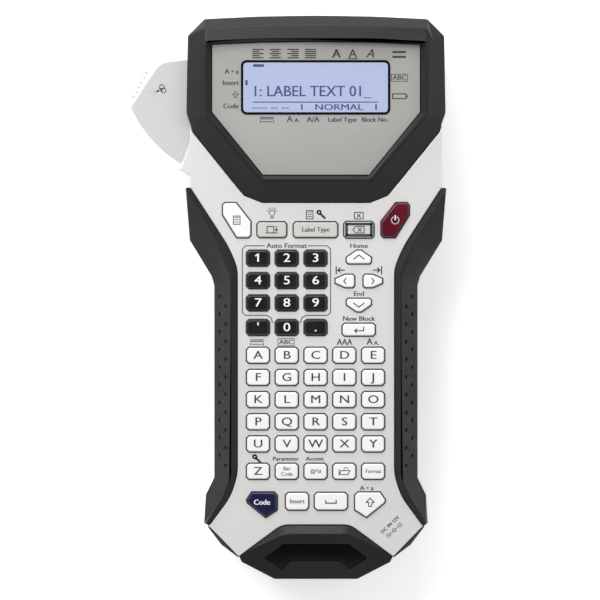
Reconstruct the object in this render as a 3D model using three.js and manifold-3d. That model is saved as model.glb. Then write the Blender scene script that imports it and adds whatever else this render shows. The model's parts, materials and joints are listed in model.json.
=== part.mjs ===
// Hand-held label maker: a wide head with display, tape bay and manual cutter,
// and a narrow keyboard handle between two elastomer grips.
// Millimetres, +X to the right of the display, +Y towards the head, +Z out of the display.
// While modelling, y = 0 is the middle of the length; the finished group is then moved
// so that the origin is the centre of the cassette cover's flat outer face.

import * as THREE from 'three';
import { mergeVertices } from 'three/addons/utils/BufferGeometryUtils.js';
import Module from 'manifold-3d';

const wasm = await Module();
wasm.setup();

// ---- Driving dimensions -------------------------------------------------------------

const LENGTH = 260;
const HEAD_HALF_WIDTH = 58;          // hard case, at the head
const HANDLE_HALF_WIDTH = 36;        // silver face between the grips
const GRIP_OVERHANG = 11;            // grip width seen from the front
const WALL = 2.2;
const GAP = 0.3;                     // clearance between pieces that touch

const HEAD_END = LENGTH / 2;
const TAIL_END = -LENGTH / 2;

// Heights above the cassette cover's outer face
const COVER_THICKNESS = 3.5;
const HEAD_REAR = COVER_THICKNESS + GAP;
const HANDLE_REAR = 10;
const PARTING = 26;
const SHOULDER = 42;                 // step in the front case that the grips sit on
const FACE = 50;                     // silver keyboard face
const FACE_PLATE = 2;
const BUMPER_SEAT = 44;
const PANEL_FACE = 53;
const BUMPER_RIDGE = 57;
const GRIP_RIDGE = 52;
const GRIP_FOOT = 18;

// Display
const LCD_WIDTH = 68;
const LCD_HEIGHT = 24.4;
const LCD_CENTRE_Y = HEAD_END - 33.5;

// Keys
const KEY_TRAVEL = 1;
const KEY_PITCH_X = 13.25;
const KEY_PITCH_Y = 10.2;
const KEY_HOLE = [11, 7.8];
const KEY_GAP = 0.45;
const KEY_TOP = FACE + 1.4;
const FLANGE = 0.7;
const WEB_TOP = FACE - FACE_PLATE - 0.4;
const WEB_THICKNESS = 1;
const DOME_TOP = WEB_TOP - WEB_THICKNESS - KEY_TRAVEL - 0.4;
const MAT_TOP = DOME_TOP - 1.1;
const MAT_THICKNESS = 1.2;
const BOARD_THICKNESS = 1.6;

// Cells
const CELL_RADIUS = 7.25;
const CELL_LENGTH = 50.5;
const CELL_PITCH = 2 * CELL_RADIUS + 0.4;
const CELL_Z = HANDLE_REAR + CELL_RADIUS + 1.65;
const CELL_MIDDLE_Y = -24.5;
const CONTACT_SPACE = 3;
const BATTERY_COVER_THICKNESS = 2.5;

// Tape drive
const CHASSIS_Z = 36;
const CHASSIS_THICKNESS = 2;
const GEAR_Z = CHASSIS_Z + CHASSIS_THICKNESS + 0.6;
const GEAR_THICKNESS = 2.1;
const MODULE = 1;
const PLATEN = { x: -HEAD_HALF_WIDTH + 12, y: HEAD_END - 22, radius: 4.5, teeth: 12 };
const IDLER_2_TEETH = 24;
const IDLER_1_TEETH = 32;
const PINION_TEETH = 10;
const RIBBON_TEETH = 12;
const GEAR_PLAY = 0.25;              // extra centre distance for running play
const MOTOR_RADIUS = 10;
const MOTOR_LENGTH = 22;
const CASSETTE = {
  width: 84, height: 58, depth: 30, x: -HEAD_HALF_WIDTH + 62, y: HEAD_END - 43,
};
const PIVOT = { x: -HEAD_HALF_WIDTH + 24.4, y: HEAD_END - 19, radius: 2 };
const LEVER_Z = GEAR_Z + GEAR_THICKNESS + 0.6;
const LEVER_THICKNESS = 2;
const LEVER_REACH = 57;
const PADDLE_LOW = 27;
const CUTTER_PIN = { x: -HEAD_HALF_WIDTH + WALL + 1.7, y: HEAD_END - 14, radius: 0.7 };

// ---- Helpers ------------------------------------------------------------------------

// A three.js geometry as a manifold solid
function solid(geometry) {
  const bare = geometry.index ? geometry.toNonIndexed() : geometry.clone();
  for (const name of Object.keys(bare.attributes)) {
    if (name !== 'position') bare.deleteAttribute(name);
  }
  const merged = mergeVertices(bare, 1e-4);
  return new wasm.Manifold(new wasm.Mesh({
    numProp: 3,
    vertProperties: new Float32Array(merged.attributes.position.array),
    triVerts: new Uint32Array(merged.index.array),
  }));
}

function join(...pieces) {
  return pieces.reduce((whole, piece) => whole.add(piece));
}

function cut(piece, ...cutters) {
  return cutters.reduce((rest, cutter) => rest.subtract(cutter), piece);
}

function box(x0, x1, y0, y1, z0, z1) {
  const geometry = new THREE.BoxGeometry(x1 - x0, y1 - y0, z1 - z0);
  geometry.translate((x0 + x1) / 2, (y0 + y1) / 2, (z0 + z1) / 2);
  return solid(geometry);
}

// Upright cylinder
function rod(x, y, radius, z0, z1, sides = 24) {
  const geometry = new THREE.CylinderGeometry(radius, radius, z1 - z0, sides);
  geometry.rotateX(Math.PI / 2);
  geometry.translate(x, y, (z0 + z1) / 2);
  return solid(geometry);
}

// Cylinder along X or Y, between two points on that axis
function bar(axis, from, to, a, z, radius, sides = 24) {
  const geometry = new THREE.CylinderGeometry(radius, radius, to - from, sides);
  if (axis === 'x') {
    geometry.rotateZ(Math.PI / 2);
    geometry.translate((from + to) / 2, a, z);
  } else {
    geometry.translate(a, (from + to) / 2, z);
  }
  return solid(geometry);
}

// Closed outline with each corner [x, y, radius] rounded by an arc-like curve
function outline(corners, steps = 4) {
  const points = [];
  corners.forEach(([x, y, radius = 0], i) => {
    const corner = new THREE.Vector2(x, y);
    if (!radius) {
      points.push(corner);
      return;
    }
    const before = new THREE.Vector2(...corners.at(i - 1));
    const after = new THREE.Vector2(...corners[(i + 1) % corners.length]);
    const start = before.clone().sub(corner).setLength(radius).add(corner);
    const end = after.clone().sub(corner).setLength(radius).add(corner);
    const curve = new THREE.QuadraticBezierCurve(start, corner, end);
    points.push(...curve.getPoints(steps));
  });
  return points;
}

// Right-hand corners, head end first, completed with their mirror image
function mirrored(corners) {
  const left = corners.filter(([x]) => x !== 0).map(([x, y, r]) => [-x, y, r]).reverse();
  return [...corners, ...left];
}

// Flat plate of an outline between two heights
function plate(points, z0, z1) {
  const geometry = new THREE.ExtrudeGeometry(new THREE.Shape(points), {
    depth: z1 - z0, bevelEnabled: false,
  });
  geometry.translate(0, 0, z0);
  return solid(geometry);
}

// Solid between two outlines with the same number of points, at two heights
function taper(low, high, z0, z1) {
  const geometry = new THREE.ExtrudeGeometry(new THREE.Shape(low), {
    depth: 1, bevelEnabled: false,
  });
  const place = geometry.attributes.position;
  for (let i = 0; i < place.count; i += 1) {
    if (place.getZ(i) < 0.5) {
      place.setZ(i, z0);
      continue;
    }
    const index = low.findIndex((p) => Math.hypot(p.x - place.getX(i), p.y - place.getY(i)) < 1e-4);
    place.setXYZ(i, high[index].x, high[index].y, z1);
  }
  return solid(geometry);
}

// An outline moved outwards by a distance, corner by corner
function grown(points, distance) {
  const turn = THREE.ShapeUtils.isClockWise(points) ? 1 : -1;
  return points.map((point, i) => {
    const before = point.clone().sub(points.at(i - 1)).normalize();
    const after = points[(i + 1) % points.length].clone().sub(point).normalize();
    const normal = new THREE.Vector2(-(before.y + after.y), before.x + after.x).normalize();
    const spread = Math.max(0.35, Math.sqrt((1 + before.dot(after)) / 2));
    return point.clone().addScaledVector(normal, turn * distance / spread);
  });
}

function rectangle(cx, cy, width, height, corner = 0) {
  const w = width / 2;
  const h = height / 2;
  const sharp = [[cx - w, cy - h], [cx + w, cy - h], [cx + w, cy + h], [cx - w, cy + h]];
  return outline(sharp.map(([x, y]) => [x, y, corner]), 1);
}

function polar(from, distance, degrees) {
  const angle = THREE.MathUtils.degToRad(degrees);
  return { x: from.x + distance * Math.cos(angle), y: from.y + distance * Math.sin(angle) };
}

// Profile of [y, z] corners extruded along X
function profile(corners, x0, x1) {
  const shape = new THREE.Shape(corners.map(([y, z]) => new THREE.Vector2(y, z)));
  const geometry = new THREE.ExtrudeGeometry(shape, { depth: x1 - x0, bevelEnabled: false });
  geometry.applyMatrix4(new THREE.Matrix4().makeBasis(
    new THREE.Vector3(0, 1, 0), new THREE.Vector3(0, 0, 1), new THREE.Vector3(1, 0, 0),
  ));
  geometry.translate(x0, 0, 0);
  return solid(geometry);
}

function mix(low, high, share) {
  return low.map((point, i) => point.clone().lerp(high[i], Array.isArray(share) ? share[i] : share));
}

// ---- Outlines -----------------------------------------------------------------------

const H = HEAD_END;
const T = TAIL_END;
const W = HEAD_HALF_WIDTH;
const N = HANDLE_HALF_WIDTH;
const SHELL = N + GRIP_OVERHANG - 3.5;   // hard wall under the grips

// Hard case below the shoulder
const lowCase = outline(mirrored([
  [W - 8, H - 4], [W - 0.8, H - 11], [W, H - 18], [W, H - 79.1], [W - 3.2, H - 102.7],
  [SHELL + 1.4, H - 119], [SHELL, H - 123.6], [SHELL, T + 46], [SHELL + 3.9, T + 38],
  [SHELL + 4.9, T + 27], [SHELL + 5.6, T + 24.7], [N - 0.6, T + 10.6], [N - 2.5, T + 8.5],
]));

// Silver face above the shoulder
const face = outline(mirrored([
  [W - 8, H - 4], [W - 0.8, H - 11], [W, H - 18], [W, H - 79.1], [N + 3.6, H - 107.5, 6],
  [N, H - 117, 3], [N, T + 48, 4], [N + 3.4, T + 37.9, 4], [SHELL + 5.6, T + 24.7],
  [N - 0.6, T + 10.6], [N - 2.5, T + 8.5],
]));

// Head bumper: foot, ridge and panel opening
const bumperFoot = outline(mirrored([
  [0, H - 0.2], [26, H - 0.6], [W - 6.7, H - 1.8], [W + 1.1, H - 9.6], [W + 1.7, H - 45.1],
  [W - 1.4, H - 53.9], [W - 19.2, H - 76], [W - 25, H - 83], [W - 33.2, H - 86.3],
]));
const bumperRidge = outline(mirrored([
  [0, H - 10.9], [26, H - 11.2], [W - 7.5, H - 12.3], [W - 6.6, H - 13.2], [W - 7, H - 45.8],
  [W - 8, H - 47.4], [W - 29.5, H - 72.8], [W - 31.4, H - 74.9], [W - 33.1, H - 76.6],
]));
const panelEdge = outline(mirrored([
  [0, H - 12.4], [26, H - 12.7], [W - 10, H - 13.7], [W - 10, H - 44.9], [W - 33.5, H - 73.9],
]));
const openingEdge = outline(mirrored([
  [0, H - 11.6], [26, H - 11.9], [W - 7.6, H - 13.2], [W - 7.7, H - 45.7], [W - 33, H - 75.8],
]));
const innerHole = grown(panelEdge, -2.5);

// Tail bumper and its badge recess
const tailEdge = outline(mirrored([
  [N - 20.4, T + 25.1, 3], [N - 0.6, T + 10.6], [N - 1.8, T + 8], [N - 16.9, T],
]));
const badge = outline(mirrored([
  [15, T + 16.6], [24, T + 9.8], [15.6, T + 4.2], [12, T + 7.6], [11, T + 8],
]));

// Everything that the lever sweeps inside the wall
const sweep = [new THREE.Vector2(PIVOT.x + 8, PIVOT.y), new THREE.Vector2(PIVOT.x, PIVOT.y + 8)];
for (let degrees = 168; degrees <= 264; degrees += 6) {
  const point = polar(PIVOT, LEVER_REACH + 0.8, degrees);
  sweep.push(new THREE.Vector2(point.x, point.y));
}
const leverRoom = join(
  plate(sweep, LEVER_Z - 0.4, LEVER_Z + LEVER_THICKNESS + 0.4),
  box(-W + WALL + 0.1, PIVOT.x + 9, PIVOT.y - 1, PIVOT.y + 10.5,
    LEVER_Z - 0.4, LEVER_Z + LEVER_THICKNESS + 0.4),
  plate(sweep, PADDLE_LOW - 2, LEVER_Z + 1).intersect(
    box(PIVOT.x - 70, -W + WALL + 1.4, T, H, PADDLE_LOW - 2, LEVER_Z + 1),
  ),
);

// ---- Shared places ------------------------------------------------------------------

const cellEnd = CELL_LENGTH + CONTACT_SPACE;
const tray = {
  halfWidth: 2 * CELL_PITCH + 0.8,
  tail: CELL_MIDDLE_Y - cellEnd - 0.6,
  head: CELL_MIDDLE_Y + cellEnd + 0.6,
  roof: CELL_Z + CELL_RADIUS + 0.35,
};
const HINGE_RADIUS = 1.5;
const LUG = { inner: 20.4, outer: 23.4, radius: 1.8 };
const cassetteHinge = { y: H - 86, z: 1.9 };
const batteryHinge = { y: tray.tail - 5, z: HANDLE_REAR - GAP - HINGE_RADIUS };
const COVER_TAIL = H - 84;
const COVER_CENTRE_Y = H - 44.5;
const bay = {
  left: -W + 5, right: CASSETTE.x + CASSETTE.width / 2 + 1.5,
  tail: CASSETTE.y - CASSETTE.height / 2 - 1, head: H - 9,
};
const EXIT_SLOT = [H - 18.4, H - 16];
const LATCH = { halfWidth: 9, low: 8, high: 17, stroke: 2 };
const JACK = { x: (SHELL + 5 + N) / 2, y: T + 17.6, z: 34, radius: 4.2 };

// Two lugs that carry a cover's pins, joined to the wall above them
function lugs(hinge, wallZ) {
  const pieces = [-1, 1].map((side) => {
    const from = side > 0 ? LUG.inner : -LUG.outer;
    const to = side > 0 ? LUG.outer : -LUG.inner;
    return join(
      bar('x', from, to, hinge.y, hinge.z, LUG.radius, 16),
      box(from, to, hinge.y - 1.5, hinge.y + 1.5, hinge.z, wallZ),
    );
  });
  return join(...pieces).subtract(bar('x', -30, 30, hinge.y, hinge.z, 1, 12));
}

// Barrel with the two pins that turn in the lugs
function barrel(hinge) {
  return join(
    bar('x', -LUG.inner + 0.4, LUG.inner - 0.4, hinge.y, hinge.z, HINGE_RADIUS, 16),
    bar('x', -LUG.outer + 0.6, LUG.outer - 0.6, hinge.y, hinge.z, 0.75, 12),
  );
}

// Room in a cover around the lugs
function lugRoom(hinge) {
  return join(...[-1, 1].map((side) => box(
    side > 0 ? LUG.inner - 0.4 : -LUG.outer - 0.4,
    side > 0 ? LUG.outer + 0.4 : -LUG.inner + 0.4,
    hinge.y - 3, hinge.y + 2.5, hinge.z - 5, hinge.z + 5,
  )));
}

function jackBody(radius, from, to, side) {
  const across = [side, side, to - from];
  const geometry = radius
    ? new THREE.CylinderGeometry(radius, radius, to - from, 20).rotateX(Math.PI / 2)
    : new THREE.BoxGeometry(...across);
  geometry.translate(0, 0, (from + to) / 2);
  geometry.rotateY(Math.PI / 2);
  geometry.rotateZ(-Math.PI / 4);
  geometry.translate(JACK.x, JACK.y, JACK.z);
  return solid(geometry);
}

// ---- Keys ---------------------------------------------------------------------------

const FIELD_X = -0.2;
const LETTER_TOP_Y = -26.7;
const NUMBER_TOP_Y = 18;
const HEAD_KEYS_Y = H - 98.9;
const TAIL_KEYS_Y = T + 36.1;
const CORNER_KEY_X = 0.7 * N + 0.3 * W - 6.1;
const cornerKey = [[-6.8, H - 95], [0.1, H - 86.2], [5.5, H - 86.2], [6.7, H - 87.5],
  [6.7, H - 92.2], [0.1, H - 102.8], [-5.6, H - 102.8], [-6.8, H - 101.4]]
  .map(([x, y]) => [CORNER_KEY_X + x, y]);
const tailKey = [[N - 18.4, T + 39], [N - 16.8, T + 40.6], [N - 6.3, T + 40.6], [N - 3.8, T + 36.8],
  [N - 4.2, T + 35.3], [N - 12.8, T + 28.4], [N - 18.4, T + 32]];

function vectors(corners, side = 1) {
  return corners.map(([x, y]) => new THREE.Vector2(side * x, y));
}

function arrowHole(cx, cy, width, height, degrees) {
  const w = width / 2;
  const h = height / 2;
  const points = vectors([[-w, -h + 1], [-w + 1, -h], [w - 1, -h], [w, -h + 1], [w, 0],
    [1.2, h], [-1.2, h], [-w, 0]]);
  return points.map((p) => p.rotateAround(new THREE.Vector2(), THREE.MathUtils.degToRad(degrees))
    .add(new THREE.Vector2(cx, cy)));
}

const singleKeys = {
  print_key: { hole: vectors(cornerKey, -1), color: '#ecebe8' },
  power_key: { hole: vectors(cornerKey), color: '#5a0018' },
  feed_cut_key: { hole: rectangle(-20.3, HEAD_KEYS_Y, 14.1, 7.7, 1.2), color: '#bdbcb8' },
  label_type_key: { hole: rectangle(FIELD_X, HEAD_KEYS_Y, 20.9, 7.7, 1.2), color: '#bdbcb8' },
  backspace_key: { hole: rectangle(19.75, HEAD_KEYS_Y, 14.3, 8.1, 1.2), color: '#c6c5c2' },
  up_key: { hole: arrowHole(19.75, 18.5, 12, 6.7, 0), color: '#ecebe8' },
  down_key: { hole: arrowHole(19.75, -3.6, 12, 6.7, 180), color: '#ecebe8' },
  left_key: { hole: arrowHole(13.3, 7.5, 6.6, 9.4, 90), color: '#ecebe8' },
  right_key: { hole: arrowHole(26.2, 7.5, 6.6, 9.4, -90), color: '#ecebe8' },
  enter_key: { hole: rectangle(19.7, -14.9, 15.7, 6.3, 1.2), color: '#ecebe8' },
  code_key: { hole: vectors(tailKey, -1), color: '#121733' },
  insert_key: { hole: rectangle(-8.7, TAIL_KEYS_Y, 11.1, 8.6, 1.4), color: '#f0f0ee' },
  space_key: { hole: rectangle(6.9, TAIL_KEYS_Y, 15.7, 8.6, 1.4), color: '#f0f0ee' },
  shift_key: { hole: vectors(tailKey), color: '#f0f0ee' },
};

const keyRows = {};
for (let row = 0; row < 4; row += 1) {
  keyRows[`number_row_${row + 1}`] = {
    y: NUMBER_TOP_Y - row * (KEY_PITCH_Y + 0.1) - (row === 3 ? 1 : 0),
    columns: [-2, -1, 0],
    color: '#131214',
  };
}
for (let row = 0; row < 6; row += 1) {
  keyRows[`letter_row_${row + 1}`] = {
    y: LETTER_TOP_Y - row * KEY_PITCH_Y - (row === 5 ? 2.4 : 0),
    columns: [-2, -1, 0, 1, 2],
    color: '#efeeec',
  };
}

function rowHoles(row) {
  return row.columns.map((column) => (
    rectangle(FIELD_X + column * KEY_PITCH_X, row.y, ...KEY_HOLE, 1.3)
  ));
}

// Cap of one key, standing in its hole
function cap(hole) {
  const edge = grown(hole, -KEY_GAP);
  return join(
    plate(edge, WEB_TOP - WEB_THICKNESS, KEY_TOP - 0.5),
    taper(edge, grown(edge, -0.45), KEY_TOP - 0.5, KEY_TOP),
  );
}

// A key of its own, with the flange that keeps it under the face
function key(hole) {
  return cap(hole).add(plate(grown(hole, FLANGE), WEB_TOP - WEB_THICKNESS, WEB_TOP));
}

// A row of keys moulded on one strip
function keyStrip(row) {
  const reachX = KEY_HOLE[0] / 2 + FLANGE;
  const reachY = KEY_HOLE[1] / 2 + FLANGE;
  const from = FIELD_X + row.columns[0] * KEY_PITCH_X - reachX;
  const to = FIELD_X + row.columns.at(-1) * KEY_PITCH_X + reachX;
  return join(
    ...rowHoles(row).map(cap),
    box(from, to, row.y - reachY, row.y + reachY, WEB_TOP - WEB_THICKNESS, WEB_TOP),
  );
}

const keyHoles = [
  ...Object.values(singleKeys).map((k) => k.hole),
  ...Object.values(keyRows).flatMap(rowHoles),
];

function middle(points) {
  const bounds = new THREE.Box2().setFromPoints(points);
  return bounds.getCenter(new THREE.Vector2());
}

// Outline shared by the key mat and the board under it
const boardEdge = outline(mirrored([
  [W - 38, H - 89], [W - 25, H - 86], [CORNER_KEY_X + 7.5, H - 85.5], [N + 2.5, H - 103], [N - 3.4, H - 118],
  [N - 3.4, T + 32], [N - 9, T + 26.6],
]));

// ---- Cases and covers -----------------------------------------------------------------

function frontCase() {
  const gripSeat = plate(lowCase, PARTING, SHOULDER);
  let body = join(gripSeat, plate(face, SHOULDER - 1, FACE));
  body = cut(
    body,
    plate(grown(lowCase, -WALL), PARTING - 1, SHOULDER - FACE_PLATE),
    plate(grown(face, -WALL), SHOULDER - FACE_PLATE - 1, FACE - FACE_PLATE),
    plate(grown(tailEdge, GAP), FACE - 3.7, FACE + 1),
  );
  // Pocket that the bumper sits in, with a ledge under it
  const pocket = plate(grown(bumperFoot, 1.5), BUMPER_SEAT - GAP - 2, FACE - 1)
    .intersect(plate(grown(face, -1), 0, FACE));
  body = join(body, pocket);
  const hood = taper(
    vectors([[-W + 1.5, H - 53], [-W - 5.5, H - 71], [-W - 0.6, H - 74], [-W + 1.5, H - 74]]),
    vectors([[-W + 1.5, H - 54.5], [-W - 4, H - 70.5], [-W - 0.6, H - 73], [-W + 1.5, H - 73]]),
    LEVER_Z + LEVER_THICKNESS + 0.7, FACE,
  );
  const tailDeck = plate(grown(tailEdge, 1.2), FACE - 5.7, FACE - 3.7)
    .intersect(plate(grown(face, -1), 0, FACE));
  body = join(body, hood, tailDeck);
  body = cut(
    body,
    plate(grown(bumperFoot, GAP), BUMPER_SEAT - GAP, FACE + 1),
    plate(innerHole, BUMPER_SEAT - 4, FACE + 1),
    leverRoom,
    jackBody(JACK.radius, -5, 20),
    ...keyHoles.map((hole) => plate(hole, FACE - FACE_PLATE - 1, FACE + 1)),
  );
  return body;
}

function rearCase() {
  const ramp = profile([[T - 5, 0], [H - 89, 0], [H - 89, HEAD_REAR], [H - 96, HANDLE_REAR],
    [T - 5, HANDLE_REAR]], -W - 5, W + 5);
  const inside = plate(grown(lowCase, -WALL), HEAD_REAR + 2, PARTING + 1);
  const handleFloor = profile([[T - 5, 0], [H - 87, 0], [H - 87, HEAD_REAR + 2],
    [H - 94, HANDLE_REAR + 2], [T - 5, HANDLE_REAR + 2]], -W - 5, W + 5);
  let body = cut(plate(lowCase, HEAD_REAR, PARTING - GAP), ramp);
  body = cut(body, inside.subtract(handleFloor));
  const trayWalls = box(-tray.halfWidth - 1.6, tray.halfWidth + 1.6, tray.tail - 1.6,
    tray.head + 1.6, HANDLE_REAR + 1, tray.roof + 1.6);
  const bayWall = box(-W + 1, W - 1, bay.tail - 2, bay.tail, HEAD_REAR + 1, PARTING - GAP);
  body = join(body, trayWalls, bayWall, lugs(cassetteHinge, HEAD_REAR + 3),
    lugs(batteryHinge, HANDLE_REAR + 1));
  return cut(
    body,
    box(-tray.halfWidth, tray.halfWidth, tray.tail, tray.head, HANDLE_REAR - 1, tray.roof),
    box(bay.left, bay.right, bay.tail, bay.head, 0, PARTING),
    box(-W - 2, bay.left + 1, ...EXIT_SLOT, HEAD_REAR + 3, PARTING),
    box(-LATCH.halfWidth - 0.4, LATCH.halfWidth + 0.4, H - 12, H, LATCH.low - 0.4, LATCH.high + 0.4),
  );
}

function headBumper() {
  const topShares = bumperFoot.map((p) => (p.y > H - 3 ? 0.42 : 0.7));
  const shoulder = mix(bumperFoot, bumperRidge, topShares);
  const shoulderZ = FACE + 0.7 * (BUMPER_RIDGE - FACE);
  const whole = join(
    plate(bumperFoot, BUMPER_SEAT, FACE),
    taper(bumperFoot, shoulder, FACE, shoulderZ),
    taper(shoulder, bumperRidge, shoulderZ, BUMPER_RIDGE),
  );
  return cut(
    whole,
    taper(panelEdge, openingEdge, PANEL_FACE, BUMPER_RIDGE + 0.01),
    plate(panelEdge, PANEL_FACE - 2 - GAP, PANEL_FACE + 0.01),
    plate(innerHole, BUMPER_SEAT - 1, PANEL_FACE),
    leverRoom,
  );
}

// Grip: skirt beside the hard wall, ridge above the shoulder, two columns of dimples
function grip(side) {
  const foot = [
    [W + 2.3, H - 79.5], [W + 0.3, H - 103.7], [SHELL + 4.7, H - 120.2], [SHELL + 3.5, H - 124.4],
    [SHELL + 3.5, T + 46.7], [SHELL + 7.4, T + 38.8], [SHELL + 8.2, T + 25.6], [SHELL + 5.9, T + 24.4],
    [N + 2.8, T + 38.2], [N - 0.6, T + 48], [N - 0.6, H - 117], [N + 3, H - 107.8], [W - 0.8, H - 79.2],
  ];
  const ridge = [
    [W + 1.7, H - 80], [N + 10, H - 103.7], [N + 3.8, H - 119.4], [N + 3.3, H - 124.4],
    [N + 3.3, T + 47.4], [N + 6.3, T + 39.8], [SHELL + 7, T + 26.2], [SHELL + 5.8, T + 24.6],
    [N + 2.8, T + 38.2], [N - 0.6, T + 48], [N - 0.6, H - 117], [N + 3, H - 107.8], [W - 0.8, H - 79.2],
  ];
  const low = vectors(foot, side);
  const high = vectors(ridge, side);
  const body = join(
    plate(low, GRIP_FOOT, SHOULDER),
    taper(low, high, SHOULDER, GRIP_RIDGE),
  );
  return cut(
    body,
    plate(grown(lowCase, GAP), GRIP_FOOT - 1, SHOULDER + GAP),
    plate(grown(face, GAP), SHOULDER, FACE),
    taper(grown(face, GAP), grown(face, 2.6), FACE - 0.01, GRIP_RIDGE + 0.01),
    plate(grown(bumperFoot, GAP), GRIP_FOOT, BUMPER_RIDGE),
  );
}

function tailBumper() {
  const crest = outline(mirrored([
    [N - 21.6, T + 21.3, 3], [N - 4.4, T + 9], [N - 4.8, T + 8], [N - 17.2, T],
  ]));
  const slope = profile([[T + 21.3, FACE + 3.01], [T - 1, FACE - 5], [T - 1, FACE + 9],
    [T + 21.3, FACE + 9]], -W, W);
  const whole = join(
    plate(tailEdge, FACE - 3.4, FACE),
    taper(tailEdge, crest, FACE, FACE + 3),
    plate(tailEdge, 0, FACE - 3).intersect(box(-W, W, T - 1, T + 8.2, 0, FACE)),
  );
  return cut(whole, slope, slope.translate([0, 0, -0.8]).intersect(plate(badge, 0, FACE + 9)));
}

function displayPanel() {
  return cut(
    plate(grown(panelEdge, -GAP), PANEL_FACE - 2, PANEL_FACE),
    plate(rectangle(FIELD_X, LCD_CENTRE_Y, LCD_WIDTH - 1.6, LCD_HEIGHT - 1.6, 1.5), 0, FACE + 9),
    plate(rectangle(FIELD_X, LCD_CENTRE_Y, LCD_WIDTH + 0.6, LCD_HEIGHT + 0.6, 1.8),
      PANEL_FACE - 1, FACE + 9),
  );
}

function cassetteCover() {
  const edge = outline(mirrored([
    [W - 9, H - 5], [W - 2, H - 12], [W - 1, H - 19], [W - 1, COVER_TAIL],
  ]));
  return cut(
    join(
      taper(grown(edge, -2), edge, 0, 2),
      plate(edge, 2, COVER_THICKNESS),
      barrel(cassetteHinge),
      box(-LUG.inner + 0.4, LUG.inner - 0.4, cassetteHinge.y, COVER_TAIL + 3, 0.5, COVER_THICKNESS - 0.2),
    ),
    lugRoom(cassetteHinge),
  ).add(barrel(cassetteHinge));
}

function batteryCover() {
  const low = HANDLE_REAR - GAP - BATTERY_COVER_THICKNESS;
  const edge = rectangle(0, (batteryHinge.y + tray.head) / 2 + 2, 2 * tray.halfWidth + 5,
    tray.head - batteryHinge.y + 4, 3);
  return cut(
    join(taper(grown(edge, -1.2), edge, low, low + 1.2), plate(edge, low + 1.2, HANDLE_REAR - GAP)),
    lugRoom(batteryHinge),
  ).add(barrel(batteryHinge));
}

function coverLatch() {
  return join(
    box(-LATCH.halfWidth, LATCH.halfWidth, H - 9, H - 2.2, LATCH.low, LATCH.high),
    box(-LATCH.halfWidth - 2, LATCH.halfWidth + 2, H - 9, H - 7.2, LATCH.low - 0.2, LATCH.high),
  );
}

// ---- Keyboard and display electronics -------------------------------------------------

function keyMat() {
  const domes = keyHoles.map((hole) => {
    const { x, y } = middle(hole);
    return rod(x, y, 2.2, MAT_TOP - 0.2, DOME_TOP, 6);
  });
  return join(plate(boardEdge, MAT_TOP - MAT_THICKNESS, MAT_TOP), ...domes);
}

function keyBoard() {
  const top = MAT_TOP - MAT_THICKNESS - GAP;
  return plate(boardEdge, top - BOARD_THICKNESS, top);
}

function dcJack() {
  return join(
    cut(
      join(jackBody(0, -14, -WALL - 0.4, 9), jackBody(JACK.radius - GAP, -4, -0.2)),
      jackBody(2.8, -11, 1),
    ),
    jackBody(1, -12, -1.6),
  );
}

// ---- Battery --------------------------------------------------------------------------

function cellPair(index) {
  const x = (index - 1.5) * CELL_PITCH;
  const tip = 1.2;
  const direction = index % 2 ? 1 : -1;
  const cells = [-1, 0].flatMap((place) => {
    const from = CELL_MIDDLE_Y + place * CELL_LENGTH;
    const to = from + CELL_LENGTH;
    const can = direction > 0 ? [from, to - tip] : [from + tip, to];
    const nub = direction > 0 ? [to - tip - 1, to + 0.05] : [from - 0.05, from + tip + 1];
    return [bar('y', ...can, x, CELL_Z, CELL_RADIUS, 20), bar('y', ...nub, x, CELL_Z, 2.7, 10)];
  });
  return join(...cells);
}

function contactPlate(y) {
  const pads = [0, 1, 2, 3].map((index) => (
    bar('y', y - 0.7, y + 0.7, (index - 1.5) * CELL_PITCH, CELL_Z, 3.2, 10)
  ));
  return join(box(-tray.halfWidth + 0.5, tray.halfWidth - 0.5, y - 0.3, y + 0.3,
    CELL_Z - 6.8, CELL_Z + 6.2), ...pads);
}

// ---- Tape drive -----------------------------------------------------------------------

const pitchRadius = (teeth) => (teeth * MODULE) / 2;
const reach = (a, b) => pitchRadius(a) + pitchRadius(b) + GEAR_PLAY;

// Places of the train, from the platen towards the motor
const idler2 = polar(PLATEN, reach(PLATEN.teeth, IDLER_2_TEETH), -75);
const idler1 = polar(idler2, reach(IDLER_2_TEETH, IDLER_1_TEETH), -70);
const motor = polar(idler1, reach(IDLER_1_TEETH, PINION_TEETH), -85);
const ribbon = polar(idler1, reach(IDLER_1_TEETH, RIBBON_TEETH), 12);

// Phase that puts a gear's gap on the tooth of the gear it meets
function meshPhase(phase, teeth, from, nextTeeth, to) {
  const angle = Math.atan2(to.y - from.y, to.x - from.x);
  const share = ((angle - phase) * teeth) / (2 * Math.PI);
  return angle + Math.PI - ((2 * Math.PI) / nextTeeth) * (0.5 - share);
}

const idler1Phase = 0;
const pinionPhase = meshPhase(idler1Phase, IDLER_1_TEETH, idler1, PINION_TEETH, motor);
const idler2Phase = meshPhase(idler1Phase, IDLER_1_TEETH, idler1, IDLER_2_TEETH, idler2);
const ribbonPhase = meshPhase(idler1Phase, IDLER_1_TEETH, idler1, RIBBON_TEETH, ribbon);
const platenPhase = meshPhase(idler2Phase, IDLER_2_TEETH, idler2, PLATEN.teeth, PLATEN);

function gear(teeth, centre, phase) {
  const radius = pitchRadius(teeth);
  const step = (2 * Math.PI) / teeth;
  const corners = [[-0.27, radius - 1.15], [-0.1, radius + 0.85], [0.1, radius + 0.85],
    [0.27, radius - 1.15]];
  const points = [];
  for (let tooth = 0; tooth < teeth; tooth += 1) {
    for (const [share, r] of corners) {
      const angle = phase + (tooth + share) * step;
      points.push(new THREE.Vector2(centre.x + r * Math.cos(angle), centre.y + r * Math.sin(angle)));
    }
  }
  return plate(points, GEAR_Z, GEAR_Z + GEAR_THICKNESS);
}

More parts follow.
